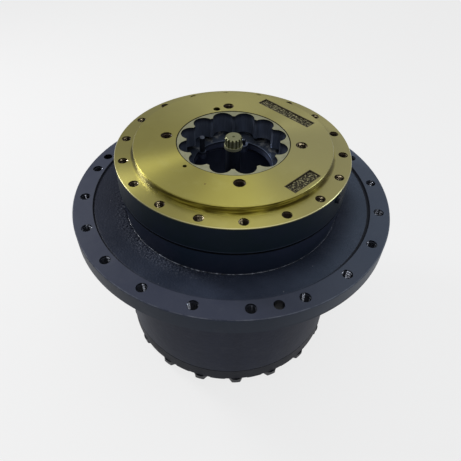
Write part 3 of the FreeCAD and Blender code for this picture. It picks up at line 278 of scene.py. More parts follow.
class Graph(Tree):
    """The node tree of one finish, with masks by height, by radius and by side."""

    def __init__(self, name: str) -> None:
        """Start an empty principled material.

        Args:
            name: the material's name.
        """
        self.material = bpy.data.materials.new(name)
        self.material.use_nodes = True
        super().__init__(self.material.node_tree)
        self.shader = self.nodes["Principled BSDF"]
        self.place = self.nodes.new("ShaderNodeTexCoord").outputs["Object"]
        self.x, self.y, self.z = self.split(self.place)
        self.radius = self.math("SQRT", self.math("ADD", self.both(self.x, self.x),
                                                  self.both(self.y, self.y)))

    def above(self, value: object, edge: float, soft: float) -> Socket:
        """A mask that goes from 0 to 1 as a value passes an edge.

        Args:
            value: what is tested.
            edge: the value at which the mask is half.
            soft: width of the change.

        Returns:
            The mask.
        """
        made = self.nodes.new("ShaderNodeMapRange")
        made.interpolation_type = "SMOOTHSTEP"
        self.feed(made.inputs[0], value)
        made.inputs[1].default_value = edge - soft / 2
        made.inputs[2].default_value = edge + soft / 2
        return made.outputs[0]

    def over(self, level: float, soft: float) -> Socket:
        """A mask of what lies higher than a level, with the width of its change, in millimetres."""
        return self.above(self.z, level * MM, soft * MM)

    def under(self, level: float, soft: float) -> Socket:
        """A mask of what lies lower than a level, with the width of its change, in millimetres."""
        return self.without(self.over(level, soft))

    def beyond(self, radius: float, soft: float) -> Socket:
        """A mask of what lies outside a radius, with the width of its change, in millimetres."""
        return self.above(self.radius, radius * MM, soft * MM)

    def within(self, radius: float, soft: float) -> Socket:
        """A mask of what lies inside a radius, with the width of its change, in millimetres."""
        return self.without(self.beyond(radius, soft))

    def toward(self, east: float, north: float, low: float, high: float) -> Socket:
        """How far a spot lies to one side of the axis, whatever its radius.

        Args:
            east: share of x in the direction.
            north: share of y in the direction.
            low: value at which the mask starts.
            high: value at which the mask is full.

        Returns:
            A mask from 0 to 1.
        """
        across = self.math("ADD", self.both(self.x, east), self.both(self.y, north))
        return self.curved(self.math("DIVIDE", across, self.radius), low, high)

    def off(self, place: Socket, middle: float) -> Socket:
        """Distance of a part of the place from a middle that is given in millimetres."""
        return self.math("ABSOLUTE", self.math("SUBTRACT", place, middle * MM))

    def cloud(self, scale: float, detail: float = 3.0, rough: float = 0.55, stretch: Point = EVEN) -> Socket:
        """Soft noise in the object's own space.

        Args:
            scale: grains per metre.
            detail: octaves.
            rough: weight of the finer octaves.
            stretch: scale along each axis.

        Returns:
            A value from 0 to 1.
        """
        place = self.nodes.new("ShaderNodeMapping")
        place.inputs["Scale"].default_value = stretch
        self.links.new(self.place, place.inputs[0])
        made = self.nodes.new("ShaderNodeTexNoise")
        self.links.new(place.outputs[0], made.inputs["Vector"])
        made.inputs["Scale"].default_value = scale
        made.inputs["Detail"].default_value = detail
        made.inputs["Roughness"].default_value = rough
        return made.outputs[0]

    def patches(self, low: float, high: float, scale: float, detail: float = 3.0, rough: float = 0.55,
                stretch: Point = EVEN) -> Socket:
        """Soft noise as a mask of patches.

        Args:
            low: noise at which a patch starts.
            high: noise at which a patch is full.
            scale: grains per metre.
            detail: octaves.
            rough: weight of the finer octaves.
            stretch: scale along each axis.

        Returns:
            The mask.
        """
        return self.curved(self.cloud(scale, detail, rough, stretch), low, high)

    def turned(self, pitch: float) -> Socket:
        """Marks of a lathe tool that vary with the radius alone.

        Args:
            pitch: distance of the strongest marks, in millimetres.

        Returns:
            A value from 0 to 1.
        """
        made = self.nodes.new("ShaderNodeTexNoise")
        made.noise_dimensions = "1D"
        self.feed(made.inputs["W"], self.radius)
        made.inputs["Scale"].default_value = 1.0 / (pitch * MM)
        made.inputs["Detail"].default_value = 4.0
        made.inputs["Roughness"].default_value = 0.7
        return made.outputs[0]

    def relief(self, height: object, depth: float) -> Socket:
        """A bump.

        Args:
            height: value from 0 to 1.
            depth: what 1 stands for, in millimetres.

        Returns:
            The bumped normal.
        """
        made = self.nodes.new("ShaderNodeBump")
        made.inputs["Distance"].default_value = depth * MM
        self.feed(made.inputs["Height"], height)
        return made.outputs[0]

    def surface(self, colour: object, roughness: object, metallic: object, normal: Socket | None = None,
                gloss: float = 0.5) -> None:
        """Join the results to the shader.

        Args:
            colour: base colour.
            roughness: roughness.
            metallic: metallic share.
            normal: bumped normal.
            gloss: strength of the reflections of what is not metal.
        """
        self.feed(self.shader.inputs["Base Color"], colour)
        self.feed(self.shader.inputs["Roughness"], roughness)
        self.feed(self.shader.inputs["Metallic"], metallic)
        self.shader.inputs["Specular IOR Level"].default_value = gloss
        if normal is not None:
            self.links.new(normal, self.shader.inputs["Normal"])

    def brushed(self, strength: float) -> None:
        """Draw highlights out across the marks of the lathe.

        Args:
            strength: from 0, even, to 1, fully drawn out.
        """
        along = self.nodes.new("ShaderNodeTangent")
        along.direction_type = "RADIAL"
        along.axis = "Z"
        self.links.new(along.outputs[0], self.shader.inputs["Tangent"])
        self.shader.inputs["Anisotropic"].default_value = strength
        self.shader.inputs["Anisotropic Rotation"].default_value = 0.25


class Finish(ABC):
    """A surface finish that can make its material."""

    @abstractmethod
    def material(self) -> Material:
        """The Blender material of this finish."""


@dataclass(frozen=True)
class SpindleFinish(Finish):
    """Yellow-olive coating on the machined faces, dark paint on the skirt, oily steel in the bore."""

    coat: Colour = linear(159, 152, 72)
    coat_deep: Colour = linear(147, 139, 62)
    coat_pale: Colour = linear(171, 165, 98)
    coat_speck: Colour = linear(96, 88, 40)
    # painted reflection: paler, greyer coat tone on the east and the far side
    coat_aged: Colour = linear(158, 153, 106)
    coat_shelf: Colour = linear(128, 121, 76)
    # painted reflection on the step wall: dark olive tone, pale stripes and darker patches
    corner: Colour = linear(98, 88, 24)
    corner_pale: Colour = linear(178, 170, 86)
    corner_patch: Colour = linear(56, 47, 12)
    # painted shade on the step wall's west and east sides
    corner_west: Colour = linear(46, 40, 12)
    corner_east: Colour = linear(62, 54, 22)
    # painted highlight: pale line along the outer edge of the frame face
    edge: Colour = linear(214, 208, 158)
    # darker olive line on the outer side just under the edge
    drip: Colour = linear(58, 58, 22)
    # painted shade: dark edge round the socket, in the gap to the slot ring
    lip: Colour = linear(40, 36, 20)
    mark: Colour = linear(104, 74, 30)
    label_border: Colour = linear(62, 52, 24)
    label: Colour = linear(70, 62, 46)
    label_deep: Colour = linear(36, 32, 22)
    oily: Colour = linear(58, 65, 77)
    oily_deep: Colour = linear(34, 40, 50)
    below_ledge: Colour = linear(80, 88, 112)
    # painted highlights: pale glints on the ledge and on the bore above it
    wiped: Colour = linear(150, 150, 146)
    # painted highlight on the ledge's inner edge, strongest to the east
    throat: Colour = linear(112, 122, 144)
    # painted shade: near-black walls of the drilled holes and of the socket's edge
    hole: Colour = linear(22, 17, 13)
    paint: Colour = linear(14, 23, 36)
    paint_deep: Colour = linear(10, 23, 29)
    # painted highlight: paler line at the skirt's foot, above the gap to the neck
    paint_foot: Colour = linear(44, 52, 66)
    throat_radius: float = 71.0
    socket: float = 97.0
    pilot: float = 170.0
    skirt: float = 202.0
    scratch: tuple[float, float] = (-114.9, -55.2)
    scratch_size: float = 3.2
    mouth_depth: float = 5.0

    def material(self) -> Material:
        """The material, with one zone for each finish.

        Returns:
            The finished material.
        """
        graph = Graph("spindle_finish")
        top = graph.both(graph.over(LEVELS.pilot_face - 2.8, 0.2), graph.beyond(self.socket + 0.4, 0.2))
        shelf = graph.both(graph.over(LEVELS.frame_face - 2.6, 0.8), graph.beyond(self.pilot - 2.0, 0.2))
        coated = graph.either(top, shelf)
        skirt = graph.both(graph.beyond(self.skirt - 8.0, 1.0), graph.without(coated))
        label = graph.both(self._recess(graph, 0.3), graph.under(LEVELS.pilot_face - 0.2, 0.1))
        step = graph.both(graph.under(LEVELS.pilot_face - 1.2, 0.4), graph.within(self.pilot + 4.2, 4.4))
        # the socket's edge: painted shade in the gap to the slot ring, and no coat gloss there
        lip = graph.both(graph.within(self.socket + 1.0, 0.4), graph.patches(0.05, 0.35, 28.0, 3.0, 0.6))
        mouth = graph.over(LEVELS.pilot_face - self.mouth_depth, 0.5)
        corner = graph.both(lip, mouth)
        # drilled holes and the socket's edge: painted shade and less metal
        dull = graph.either(graph.beyond(self.socket + 2.2, 0.6),
                            graph.both(graph.beyond(self.socket - 0.3, 0.1), mouth))
        marks = graph.turned(0.9)
        colour = graph.blend(coated, graph.blend(skirt, self._steel(graph, dull), self._paint(graph)),
                             self._coating(graph, step, label, lip))
        rough = graph.between(coated, graph.between(skirt, 0.34, 0.42),
                              graph.between(label, graph.between(marks, 0.27, 0.35), 0.62))
        metal = graph.between(coated, graph.between(skirt, graph.between(dull, 0.75, 0.2), 0.0),
                              graph.between(label, 1.0, 0.3))
        grain = graph.both(graph.cloud(260.0), graph.between(coated, 0.8, 0.06))
        waves = graph.both(step, 1.2, graph.cloud(60.0, 3.0, 0.5, UPRIGHT))
        height = graph.math("ADD", graph.both(coated, 0.25, marks), graph.math("ADD", waves, grain))
        metal = graph.both(metal, graph.without(graph.both(corner, 0.6)))
        graph.surface(colour, graph.between(corner, rough, 0.7), metal, graph.relief(height, 0.10), 0.08)
        graph.brushed(0.84)
        graph.feed(graph.shader.inputs["Coat Weight"], graph.both(coated, 0.5, graph.without(lip)))
        graph.shader.inputs["Coat Roughness"].default_value = 0.3
        return graph.material

    def _coating(self, graph: Graph, step: Socket, label: Socket, lip: Socket) -> Socket:
        """Colour of the yellow coating, with its thick, worn and dirty places, and with painted reflections,
        highlights and shade on its sides, step, edges and socket.

        Args:
            graph: the graph that it is built in.
            step: mask of the wall between the two faces and of its corner.
            label: mask of the floors of the label recesses.
            lip: mask of the socket's edge, darkened as painted shade in the gap to the slot ring.

        Returns:
            The colour.
        """
        # painted reflection: the coat turns paler and greyer towards the east and the far side
        side_reflection = graph.either(graph.both(graph.toward(1.0, -1.0, 0.2, 1.3), 0.55),
                            graph.both(graph.toward(1.0, 1.0, 0.3, 1.3), 0.35))
        # painted reflection: vertical stripes and patches for the bands on the step wall
        step_reflection_stripes = graph.patches(0.43, 0.56, 250.0, 3.0, 0.55, (0.05, 0.05, 1.0))
        patches = graph.patches(0.50, 0.60, 17.0, 2.0, 0.5, UPRIGHT)
        # painted highlight: pale line along the outer edge of the frame face
        edge_highlight = graph.both(graph.beyond(self.skirt - 1.1, 0.3), graph.over(LEVELS.frame_face - 1.2, 0.3))
        # darker olive line on the outer side just under the edge
        drip = graph.both(graph.beyond(self.skirt - 0.5, 0.2), graph.under(LEVELS.frame_face - 1.0, 0.3))
        smear = graph.between(graph.patches(0.25, 0.5, 70.0, 3.0, 0.6), 0.6, 1.0)
        return graph.layered(
            graph.blend(graph.patches(0.3, 0.7, 7.0, 3.0, 0.5), self.coat, self.coat_deep),
            (graph.patches(0.55, 0.75, 30.0, 4.0, 0.6), 0.25, self.coat_pale),
            (graph.patches(0.70, 0.76, 620.0, 2.0, 0.5), 0.3, self.coat_speck),
            (side_reflection, 1.0, self.coat_aged),
            (graph.beyond(self.pilot + 6.0, 3.0), 0.3, self.coat_shelf),
            # step wall: painted reflection bands, then darker painted reflection patches
            (step, graph.without(label), graph.blend(step_reflection_stripes, self.corner, self.corner_pale)),
            (graph.both(step, patches), 0.6, self.corner_patch),
            # painted shade on the step wall's west and east sides
            (graph.both(step, graph.toward(-1.0, 1.0, 0.6, 1.2)), 0.75, self.corner_west),
            (graph.both(step, graph.toward(1.0, -1.0, 0.7, 1.3)), 0.5, self.corner_east),
            # painted highlight along the outer edge of the frame face
            (edge_highlight, 0.6, self.edge),
            (drip, 1.0, self.drip),
            # painted shade in the gap round the socket
            (lip, 0.92, self.lip),
            (self._scratch(graph), 1.0, self.mark),
            (self._recess(graph, 1.2), smear, self.label_border),
            (label, 1.0, graph.blend(graph.cloud(900.0), self.label, self.label_deep)))

    def _steel(self, graph: Graph, dull: Socket) -> Socket:
        """Colour of the oily steel in the bore and in the holes, with painted glints on the ledge, a painted
        highlight on the ledge's inner edge and painted shade in the holes.

        Args:
            graph: the graph that it is built in.
            dull: mask of the drilled holes and of the socket's edge, which take painted shade.

        Returns:
            The colour.
        """
        # painted highlights: pale glints on the ledge and on the bore above it
        wiped = graph.both(graph.patches(0.54, 0.66, 42.0, 5.0, 0.65),
                           graph.over(LEVELS.ledge_top - 2.0, 0.6))
        # painted highlight on the ledge's inner edge
        throat = graph.both(graph.within(self.throat_radius, 0.5), graph.over(LEVELS.ledge_top - 1.0, 0.4))
        return graph.layered(
            graph.blend(graph.cloud(60.0, 4.0), self.oily, self.oily_deep),
            (graph.under(LEVELS.ledge_top - 4.0, 4.0), 0.9, self.below_ledge),
            (wiped, 0.55, self.wiped),
            (throat, graph.between(graph.toward(1.0, 0.2, -0.2, 0.8), 0.15, 0.75), self.throat),
            # painted shade in the drilled holes and on the socket's edge
            (dull, 1.0, self.hole))

    def _paint(self, graph: Graph) -> Socket:
        """Colour of the painted skirt, with a painted highlight line at its foot.

        Args:
            graph: the graph that it is built in.

        Returns:
            The colour.
        """
        return graph.layered(
            graph.blend(graph.patches(0.35, 0.65, 14.0, 4.0), self.paint, self.paint_deep),
            # painted highlight line at the skirt's foot
            (graph.under(LEVELS.skirt_foot + 1.8, 0.5), 0.6, self.paint_foot))

    def _scratch(self, graph: Graph) -> Socket:
        """A mask for one short scratch on the pilot face.

        Args:
            graph: the graph that it is built in.

        Returns:
            The mask.
        """
        away = graph.math("ADD", graph.off(graph.x, self.scratch[0]), graph.off(graph.y, self.scratch[1]))
        ragged = graph.math("ADD", away, graph.both(graph.cloud(500.0, 2.0), 2.4 * MM))
        return graph.both(graph.without(graph.above(ragged, self.scratch_size * MM, 1.0 * MM)), 0.8)

    def _recess(self, graph: Graph, grown: float) -> Socket:
        """A mask over the two label recesses, which stay bare.

        Args:
            graph: the graph that it is built in.
            grown: how far the mask reaches past the walls, in millimetres.

        Returns:
            The mask.
        """
        masks = []
        for recess in (LONG_RECESS, SHORT_RECESS):
            sides = ((graph.off(graph.x, recess.across), recess.half_across),
                     (graph.off(graph.y, recess.along), recess.half_along))
            masks.append(graph.both(*(graph.without(graph.above(away, (half + grown) * MM, 0.1 * MM))
                                      for away, half in sides)))
        return graph.either(*masks)


@dataclass(frozen=True)
class CastingPaint(Finish):
    """Dark blue-grey paint over the casting, smoother and paler on the machined rim."""

    web: Colour = linear(44, 50, 64)
    web_deep: Colour = linear(29, 35, 48)
    # painted shade on the west part of the web
    web_west: Colour = linear(18, 20, 30)
    rim: Colour = linear(56, 60, 72)
    rim_deep: Colour = linear(46, 50, 64)
    flange: Colour = linear(24, 34, 50)
    flange_deep: Colour = linear(19, 28, 42)
    # worn paint on the flange's outer edge, which is also a painted highlight
    edge: Colour = linear(104, 108, 118)
    drum: Colour = linear(27, 32, 48)
    drum_deep: Colour = linear(21, 26, 41)
    neck: Colour = linear(34, 39, 55)
    neck_deep: Colour = linear(27, 36, 50)
    # painted shade: near-black band at the neck's top, in the gap under the skirt
    neck_lip: Colour = linear(7, 8, 12)
    # painted shadow line at the rim's inner edge
    groove: Colour = linear(13, 15, 21)
    # painted shade on the walls of the sprocket bolt holes
    bored: Colour = linear(12, 13, 18)
    # painted light: paler tone on the east side of the web and rim
    dry: Colour = linear(76, 87, 102)
    # rough skin at the west by the neck: pale specks are painted highlights, dark specks painted shade
    lump: Colour = linear(112, 118, 132)
    pit: Colour = linear(14, 16, 24)
    dust: Colour = linear(100, 100, 104)
    fleck: Colour = linear(150, 154, 160)
    pore: Colour = linear(14, 15, 20)
    lip_radius: float = 190.0
    neck_radius: float = 206.0
    lumpy_radius: float = 215.0
    dry_radius: float = 222.0
    rim_inner: float = 254.7
    holes_inner: float = 258.0
    holes_outer: float = 284.0
    flange_radius: float = 290.0

    def material(self) -> Material:
        """The material, with one zone for each part of the casting.

        Returns:
            The finished material.
        """
        graph = Graph("casting_paint")
        rim = graph.both(graph.beyond(self.rim_inner - 0.7, 0.6), graph.over(LEVELS.flange_underside, 1.0))
        neck = graph.both(graph.over(LEVELS.web_foot + 3.0, 4.0), graph.within(self.neck_radius, 6.0))
        web = graph.both(graph.over(LEVELS.web_foot - 1.5, 0.5),
                         graph.both(graph.without(rim), graph.without(neck)))
        wash = graph.cloud(7.0, 4.0, 0.6)
        colour = self._worn(graph, web, self._zones(graph, web, rim, neck, wash))
        rough = graph.between(rim, graph.between(neck, graph.between(wash, 0.46, 0.6), 0.36), 0.42)
        grain = graph.both(graph.cloud(330.0, 4.0, 0.6), graph.between(web, 0.18, 1.0))
        height = graph.math("ADD", grain, graph.both(graph.cloud(90.0, 2.0), 0.5))
        depth = graph.both(height, graph.between(graph.either(rim, neck), 1.0, 0.22))
        graph.surface(colour, rough, 0.0, graph.relief(depth, 0.7), 0.1)
        return graph.material

    def _zones(self, graph: Graph, web: Socket, rim: Socket, neck: Socket, wash: Socket) -> Socket:
        """Colour of each part of the casting.

        Args:
            graph: the graph that it is built in.
            web: mask of the dished web.
            rim: mask of the machined rim.
            neck: mask of the neck.
            wash: broad noise that all of them share.

        Returns:
            The colour.
        """
        streak = graph.cloud(26.0, 4.0, 0.6, (1.0, 1.0, 0.18))
        side = graph.both(graph.beyond(self.flange_radius - 4.0, 2.0),
                          graph.over(LEVELS.flange_underside - 1.0, 0.6))
        flange = graph.blend(streak, self.flange, self.flange_deep)
        return graph.layered(
            graph.blend(graph.curved(streak, 0.3, 0.7), self.drum, self.drum_deep),
            (web, 1.0, graph.blend(graph.curved(wash, 0.38, 0.62), self.web, self.web_deep)),
            (side, 1.0, flange),
            (rim, 1.0, graph.blend(graph.curved(wash, 0.35, 0.65), self.rim, self.rim_deep)),
            (side, graph.under(LEVELS.sprocket_face - 1.3, 0.4), flange),
            (neck, 1.0, graph.blend(graph.curved(wash, 0.4, 0.6), self.neck, self.neck_deep)))

    def _groove(self, graph: Graph) -> Socket:
        """A mask of the painted shadow line at the rim's inner edge, wider to the east and faint at the near
        side.

        Args:
            graph: the graph that it is built in.

        Returns:
            The mask.
        """
        near = graph.toward(1.0, 1.0, -0.9, -1.35)
        inner = graph.math("SUBTRACT", (self.rim_inner - 2.3) * MM,
                           graph.both(graph.toward(1.0, -1.0, 0.5, 1.3), 2.6 * MM))
        line = graph.both(graph.above(graph.math("SUBTRACT", graph.radius, inner), 0.0, 0.5 * MM),
                          graph.within(self.rim_inner + 0.5, 0.6))
        return graph.both(line, graph.both(graph.over(LEVELS.sprocket_face - 4.4, 0.5),
                                           graph.between(near, 0.9, 0.15)))

    def _worn(self, graph: Graph, web: Socket, colour: Socket) -> Socket:
        """The paint's colour with worn edges that are also a painted highlight, painted shade in corners,
        gaps and bolt holes, painted light on the east side, painted highlights and shade on the rough
        places, dust and flecks.

        Args:
            graph: the graph that it is built in.
            web: mask of the dished web.
            colour: colour of the fresh paint.

        Returns:
            The colour.
        """
        # worn outer edge of the flange, also a painted highlight
        worn = graph.both(graph.beyond(self.flange_radius - 1.6, 0.4),
                          graph.over(LEVELS.sprocket_face - 1.1, 0.4),
                          graph.patches(0.35, 0.6, 34.0, 4.0, 0.6))
        # painted shadow line at the rim's inner edge
        groove = self._groove(graph)
        lumpy = graph.both(web, graph.toward(-1.0, 0.45, 0.3, 1.05), graph.within(self.lumpy_radius, 30.0))
        ring = graph.both(graph.beyond(self.holes_inner, 1.0), graph.within(self.holes_outer, 1.0))
        # painted shade on the walls of the sprocket bolt holes
        bored = graph.both(ring, graph.both(graph.over(LEVELS.flange_underside + 0.8, 0.3),
                                            graph.under(LEVELS.sprocket_face - 0.3, 0.3)))
        # painted light: paler tone on the east side of the web and rim
        dry = graph.both(graph.toward(1.0, -1.0, 0.3, 1.3), graph.beyond(self.dry_radius, 40.0),
                         graph.over(LEVELS.flange_underside + 6.0, 1.0))
        # painted shade: near-black band at the neck's top, in the gap under the skirt
        lip = graph.both(graph.over(LEVELS.neck_top - 2.4, 0.6), graph.beyond(self.lip_radius, 1.0))
        return graph.layered(
            colour,
            # worn flange edge, also a painted highlight
            (worn, 0.7, self.edge),
            (groove, 1.0, self.groove),
            # rough skin at the west by the neck: pale specks are painted highlights, dark specks painted
            # shade
            (graph.both(lumpy, 0.75), graph.patches(0.52, 0.64, 480.0, 3.0, 0.6), self.lump),
            (graph.both(lumpy, 0.8), graph.patches(0.54, 0.64, 400.0, 3.0, 0.6, (1.2, 1.0, 1.0)), self.pit),
            (bored, 1.0, self.bored),
            # painted shade on the west part of the web
            (graph.both(web, graph.toward(-1.0, 1.0, 0.8, 1.41)), 0.7, self.web_west),
            (dry, graph.both(graph.without(groove), 0.45), self.dry),
            (lip, 1.0, self.neck_lip),
            (graph.patches(0.55, 0.75, 45.0, 6.0, 0.7), 0.06, self.dust),
            (graph.patches(0.80, 0.83, 240.0, 1.0, 0.5), graph.both(web, 0.6), self.fleck),
            (graph.patches(0.62, 0.8, 900.0, 2.0, 0.5), 0.35, self.pore))


@dataclass(frozen=True)
class PlainPaint(Finish):
    """The same dark paint on a small or turned part without casting zones."""

    name: str
    colour: Colour
    shade: Colour
    roughness: float = 0.45
    grain: float = 400.0
    gloss: float = 0.18
    patches: float = 24.0
    chip: Colour = linear(120, 120, 120)

    def material(self) -> Material:
        """The paint with its chips.

        Returns:
            The finished material.
        """
        graph = Graph(self.name)
        wash = graph.cloud(self.patches, 5.0, 0.6)
        colour = graph.layered(
            graph.blend(graph.curved(wash, 0.35, 0.65), self.colour, self.shade),
            (graph.patches(0.68, 0.74, 210.0, 4.0, 0.6), 0.5, self.chip))
        graph.surface(colour, graph.between(wash, self.roughness, self.roughness + 0.14), 0.0,
                      graph.relief(graph.cloud(self.grain), 0.25), self.gloss)
        return graph.material


class Lay(Enum):
    """Direction of the tool marks on bare metal."""

    TURNED = "turned"
    DRAWN = "drawn"
    GROUND = "ground"


@dataclass(frozen=True)
class BareMetal(Finish):
    """Bare metal with tool marks and an oil film."""

    name: str
    colour: Colour
    film: Colour
    roughness: float = 0.3
    lay: Lay = Lay.GROUND
    metallic: float = 0.9

    def material(self) -> Material:
        """The metal with its tool marks.

        Returns:
            The finished material.
        """
        graph = Graph(self.name)
        if self.lay is Lay.TURNED:
            marks = graph.turned(0.7)
        elif self.lay is Lay.DRAWN:
            marks = graph.cloud(420.0, 3.0, 0.6, (1.0, 1.0, 0.08))
        else:
            marks = graph.cloud(700.0, 3.0, 0.6, (1.0, 1.0, 0.25))
        oil = graph.patches(0.42, 0.66, 55.0, 5.0, 0.65)
        graph.surface(graph.blend(graph.both(oil, 0.75), self.colour, self.film),
                      graph.between(marks, self.roughness * 0.8, self.roughness * 1.3),
                      self.metallic, graph.relief(marks, 0.05))
        return graph.material


@dataclass(frozen=True)
class SlotRingFinish(Finish):
    """Bright turned face on top with painted shade at its outer rim, dark oily walls in the slots with
    painted shade near their top.
    """

    face: Colour = linear(146, 146, 120)
    face_stain: Colour = linear(112, 114, 96)
    # painted shade at the face's outer rim, in the gap to the spindle
    face_rim: Colour = linear(34, 32, 22)
    wall: Colour = linear(128, 138, 158)
    wall_drawn: Colour = linear(78, 86, 104)
    # painted shade near the top of the slot walls and on their top edge
    wall_upper: Colour = linear(24, 29, 41)
    arris: Colour = linear(10, 15, 22)
    rim_radius: float = 96.1

    def material(self) -> Material:
        """The material, with one zone for the face and one for the walls.

        Returns:
            The finished material.
        """
        graph = Graph("slot_ring_finish")
        top = graph.over(LEVELS.slot_top - 0.25, 0.2)
        marks = graph.turned(0.8)
        drawn = graph.cloud(300.0, 3.0, 0.6, (1.0, 1.0, 0.06))
        face = graph.layered(
            self.face,
            (graph.patches(0.45, 0.7, 80.0, 4.0, 0.6), 0.5, self.face_stain),
            # painted shade at the face's outer rim, in the gap to the spindle
            (graph.beyond(self.rim_radius, 0.4), 1.0, self.face_rim))
        wall = graph.layered(
            graph.blend(drawn, self.wall, self.wall_drawn),
            # painted shade near the top of the slot walls and on their top edge
            (graph.over(LEVELS.slot_top - 7.0, 12.0), 0.9, self.wall_upper),
            (graph.over(LEVELS.slot_top - 1.6, 0.5), 0.8, self.arris))
        rough = graph.between(top, graph.between(drawn, 0.3, 0.42), graph.between(marks, 0.34, 0.5))
        graph.surface(graph.blend(top, wall, face), rough, graph.between(top, 0.75, 0.95),
                      graph.relief(graph.between(top, drawn, marks), 0.06))
        return graph.material


@dataclass(frozen=True)
class ShaftFinish(Finish):
    """Olive phosphated steel, bright where the spline has been gripped, dark under its collar."""

    coat: Colour = linear(96, 98, 66)
    bright: Colour = linear(176, 176, 146)
    dark: Colour = linear(50, 56, 70)
    spline_tops: float = 14.6
    collar_foot: float = 438.2
    tip: float = 458.2

    def material(self) -> Material:
        """The material, with one zone for the spline and one for the shaft under it.

        Returns:
            The finished material.
        """
        graph = Graph("shaft_finish")
        gripped = graph.both(graph.patches(0.5, 0.64, 240.0, 4.0, 0.6), 0.3)
        edges = graph.either(graph.both(graph.over(self.tip, 1.0), 0.2),
                             graph.both(graph.beyond(self.spline_tops, 0.5), 0.8))
        marks = graph.cloud(800.0, 3.0, 0.6, (1.0, 1.0, 0.2))
        colour = graph.blend(graph.over(self.collar_foot, 0.3), self.dark,
                             graph.blend(graph.either(gripped, edges), self.coat, self.bright))
        graph.surface(colour, graph.between(marks, 0.3, 0.45), 0.75, graph.relief(marks, 0.06))
        return graph.material


@dataclass(frozen=True)
class ThreadFinish(Finish):
    """Dirty thread flanks with bright columns of clean metal that also serve as painted glints."""

    name: str
    dark: Colour
    # bright: clean metal columns that also serve as painted glints
    bright: Colour

    def material(self) -> Material:
        """The dirty flanks and the bright columns.

        Returns:
            The finished material.
        """
        graph = Graph(self.name)
        clean = graph.patches(0.40, 0.56, 420.0, 3.0, 0.6)
        # bright columns of clean metal that also serve as painted glints
        lit = graph.both(graph.patches(0.56, 0.62, 105.0, 1.0, 0.5, (1.0, 1.0, 0.04)), clean)
        graph.surface(graph.blend(lit, self.dark, self.bright), graph.between(lit, 0.42, 0.2),
                      graph.between(lit, 0.5, 1.0), graph.relief(clean, 0.05), 0.15)
        return graph.material


@dataclass(frozen=True)
class RecessFinish(Finish):
    """Dark brown dirt in the low places of the label recesses, worn grey-olive metal on the high ones."""

    low: Colour = linear(30, 26, 14)
    high: Colour = linear(118, 114, 86)

    def material(self) -> Material:
        """The dirt and the worn metal, parted by height.

        Returns:
            The finished material.
        """
        graph = Graph("recess_finish")
        rise = graph.curved(graph.math("SUBTRACT", graph.z, LEVELS.recess_foot * MM), 0.5 * MM, 0.8 * MM)
        grime = graph.patches(0.4, 0.65, 160.0, 4.0, 0.6)
        colour = graph.blend(graph.both(rise, graph.between(grime, 1.0, 0.55)), self.low, self.high)
        graph.surface(colour, 0.5, graph.between(rise, 0.0, 0.7),
                      graph.relief(graph.cloud(900.0), 0.12), 0.12)
        return graph.material


@dataclass(frozen=True)
class RubberFinish(Finish):
    """Matt black seal rubber."""

    colour: Colour = linear(22, 22, 22)
    pale: Colour = linear(36, 36, 36)

    def material(self) -> Material:
        """The rubber with its fine grain.

        Returns:
            The finished material.
        """
        graph = Graph("seal_rubber")
        grain = graph.cloud(900.0, 2.0)
        graph.surface(graph.blend(grain, self.colour, self.pale), 0.7, 0.0, graph.relief(grain, 0.05))
        return graph.material


class Mesh:
    """Lists of corners and faces that grow piece by piece."""

    def __init__(self) -> None:
        """Start with nothing."""
        self.corners: list[Point] = []
        self.faces: list[tuple[int, ...]] = []

    def grid(self, rows: Sequence[Sequence[Point]], closed_rows: bool, closed_columns: bool,
             caps: bool = False) -> None:
        """Add a net of four-sided faces.

        Args:
            rows: rows of corners, all of one length.
            closed_rows: join the last corner of a row to its first.
            closed_columns: join the last row to the first.
            caps: close the first and last row with one face each.
        """
        base = len(self.corners)
        across = len(rows[0])
        for row in rows:
            self.corners.extend(row)
        last = len(rows) if closed_columns else len(rows) - 1
        edge = across if closed_rows else across - 1
        for row in range(last):
            after = (row + 1) % len(rows)
            for column in range(edge):
                beside = (column + 1) % across
                self.faces.append((base + row * across + column, base + row * across + beside,
                                   base + after * across + beside, base + after * across + column))
        if caps:
            self.faces.append(tuple(base + column for column in reversed(range(across))))
            self.faces.append(tuple(base + (len(rows) - 1) * across + column for column in range(across)))

    def piece(self, name: str, material: Material, smooth: bool = True) -> bpy.types.Object:
        """The Blender object of all that was added.

        Args:
            name: its name.
            material: its material.
            smooth: shade the faces smooth.

        Returns:
            The linked object.
        """
        data = bpy.data.meshes.new(name)
        data.from_pydata(self.corners, [], self.faces)
        shell = bmesh.new()
        shell.from_mesh(data)
        bmesh.ops.recalc_face_normals(shell, faces=shell.faces)
        shell.to_mesh(data)
        shell.free()
        data.validate()
        data.update()
        data.polygons.foreach_set("use_smooth", [smooth] * len(data.polygons))
        data.materials.append(material)
        made = bpy.data.objects.new(name, data)
        bpy.context.scene.collection.objects.link(made)
        return made


def turn_circle(radius: float, angle: float, height: float) -> Point:
    """A point given by radius and height in millimetres and an angle in degrees, in metres."""
    turn = math.radians(angle)
    return (radius * math.cos(turn) * MM, radius * math.sin(turn) * MM, height * MM)


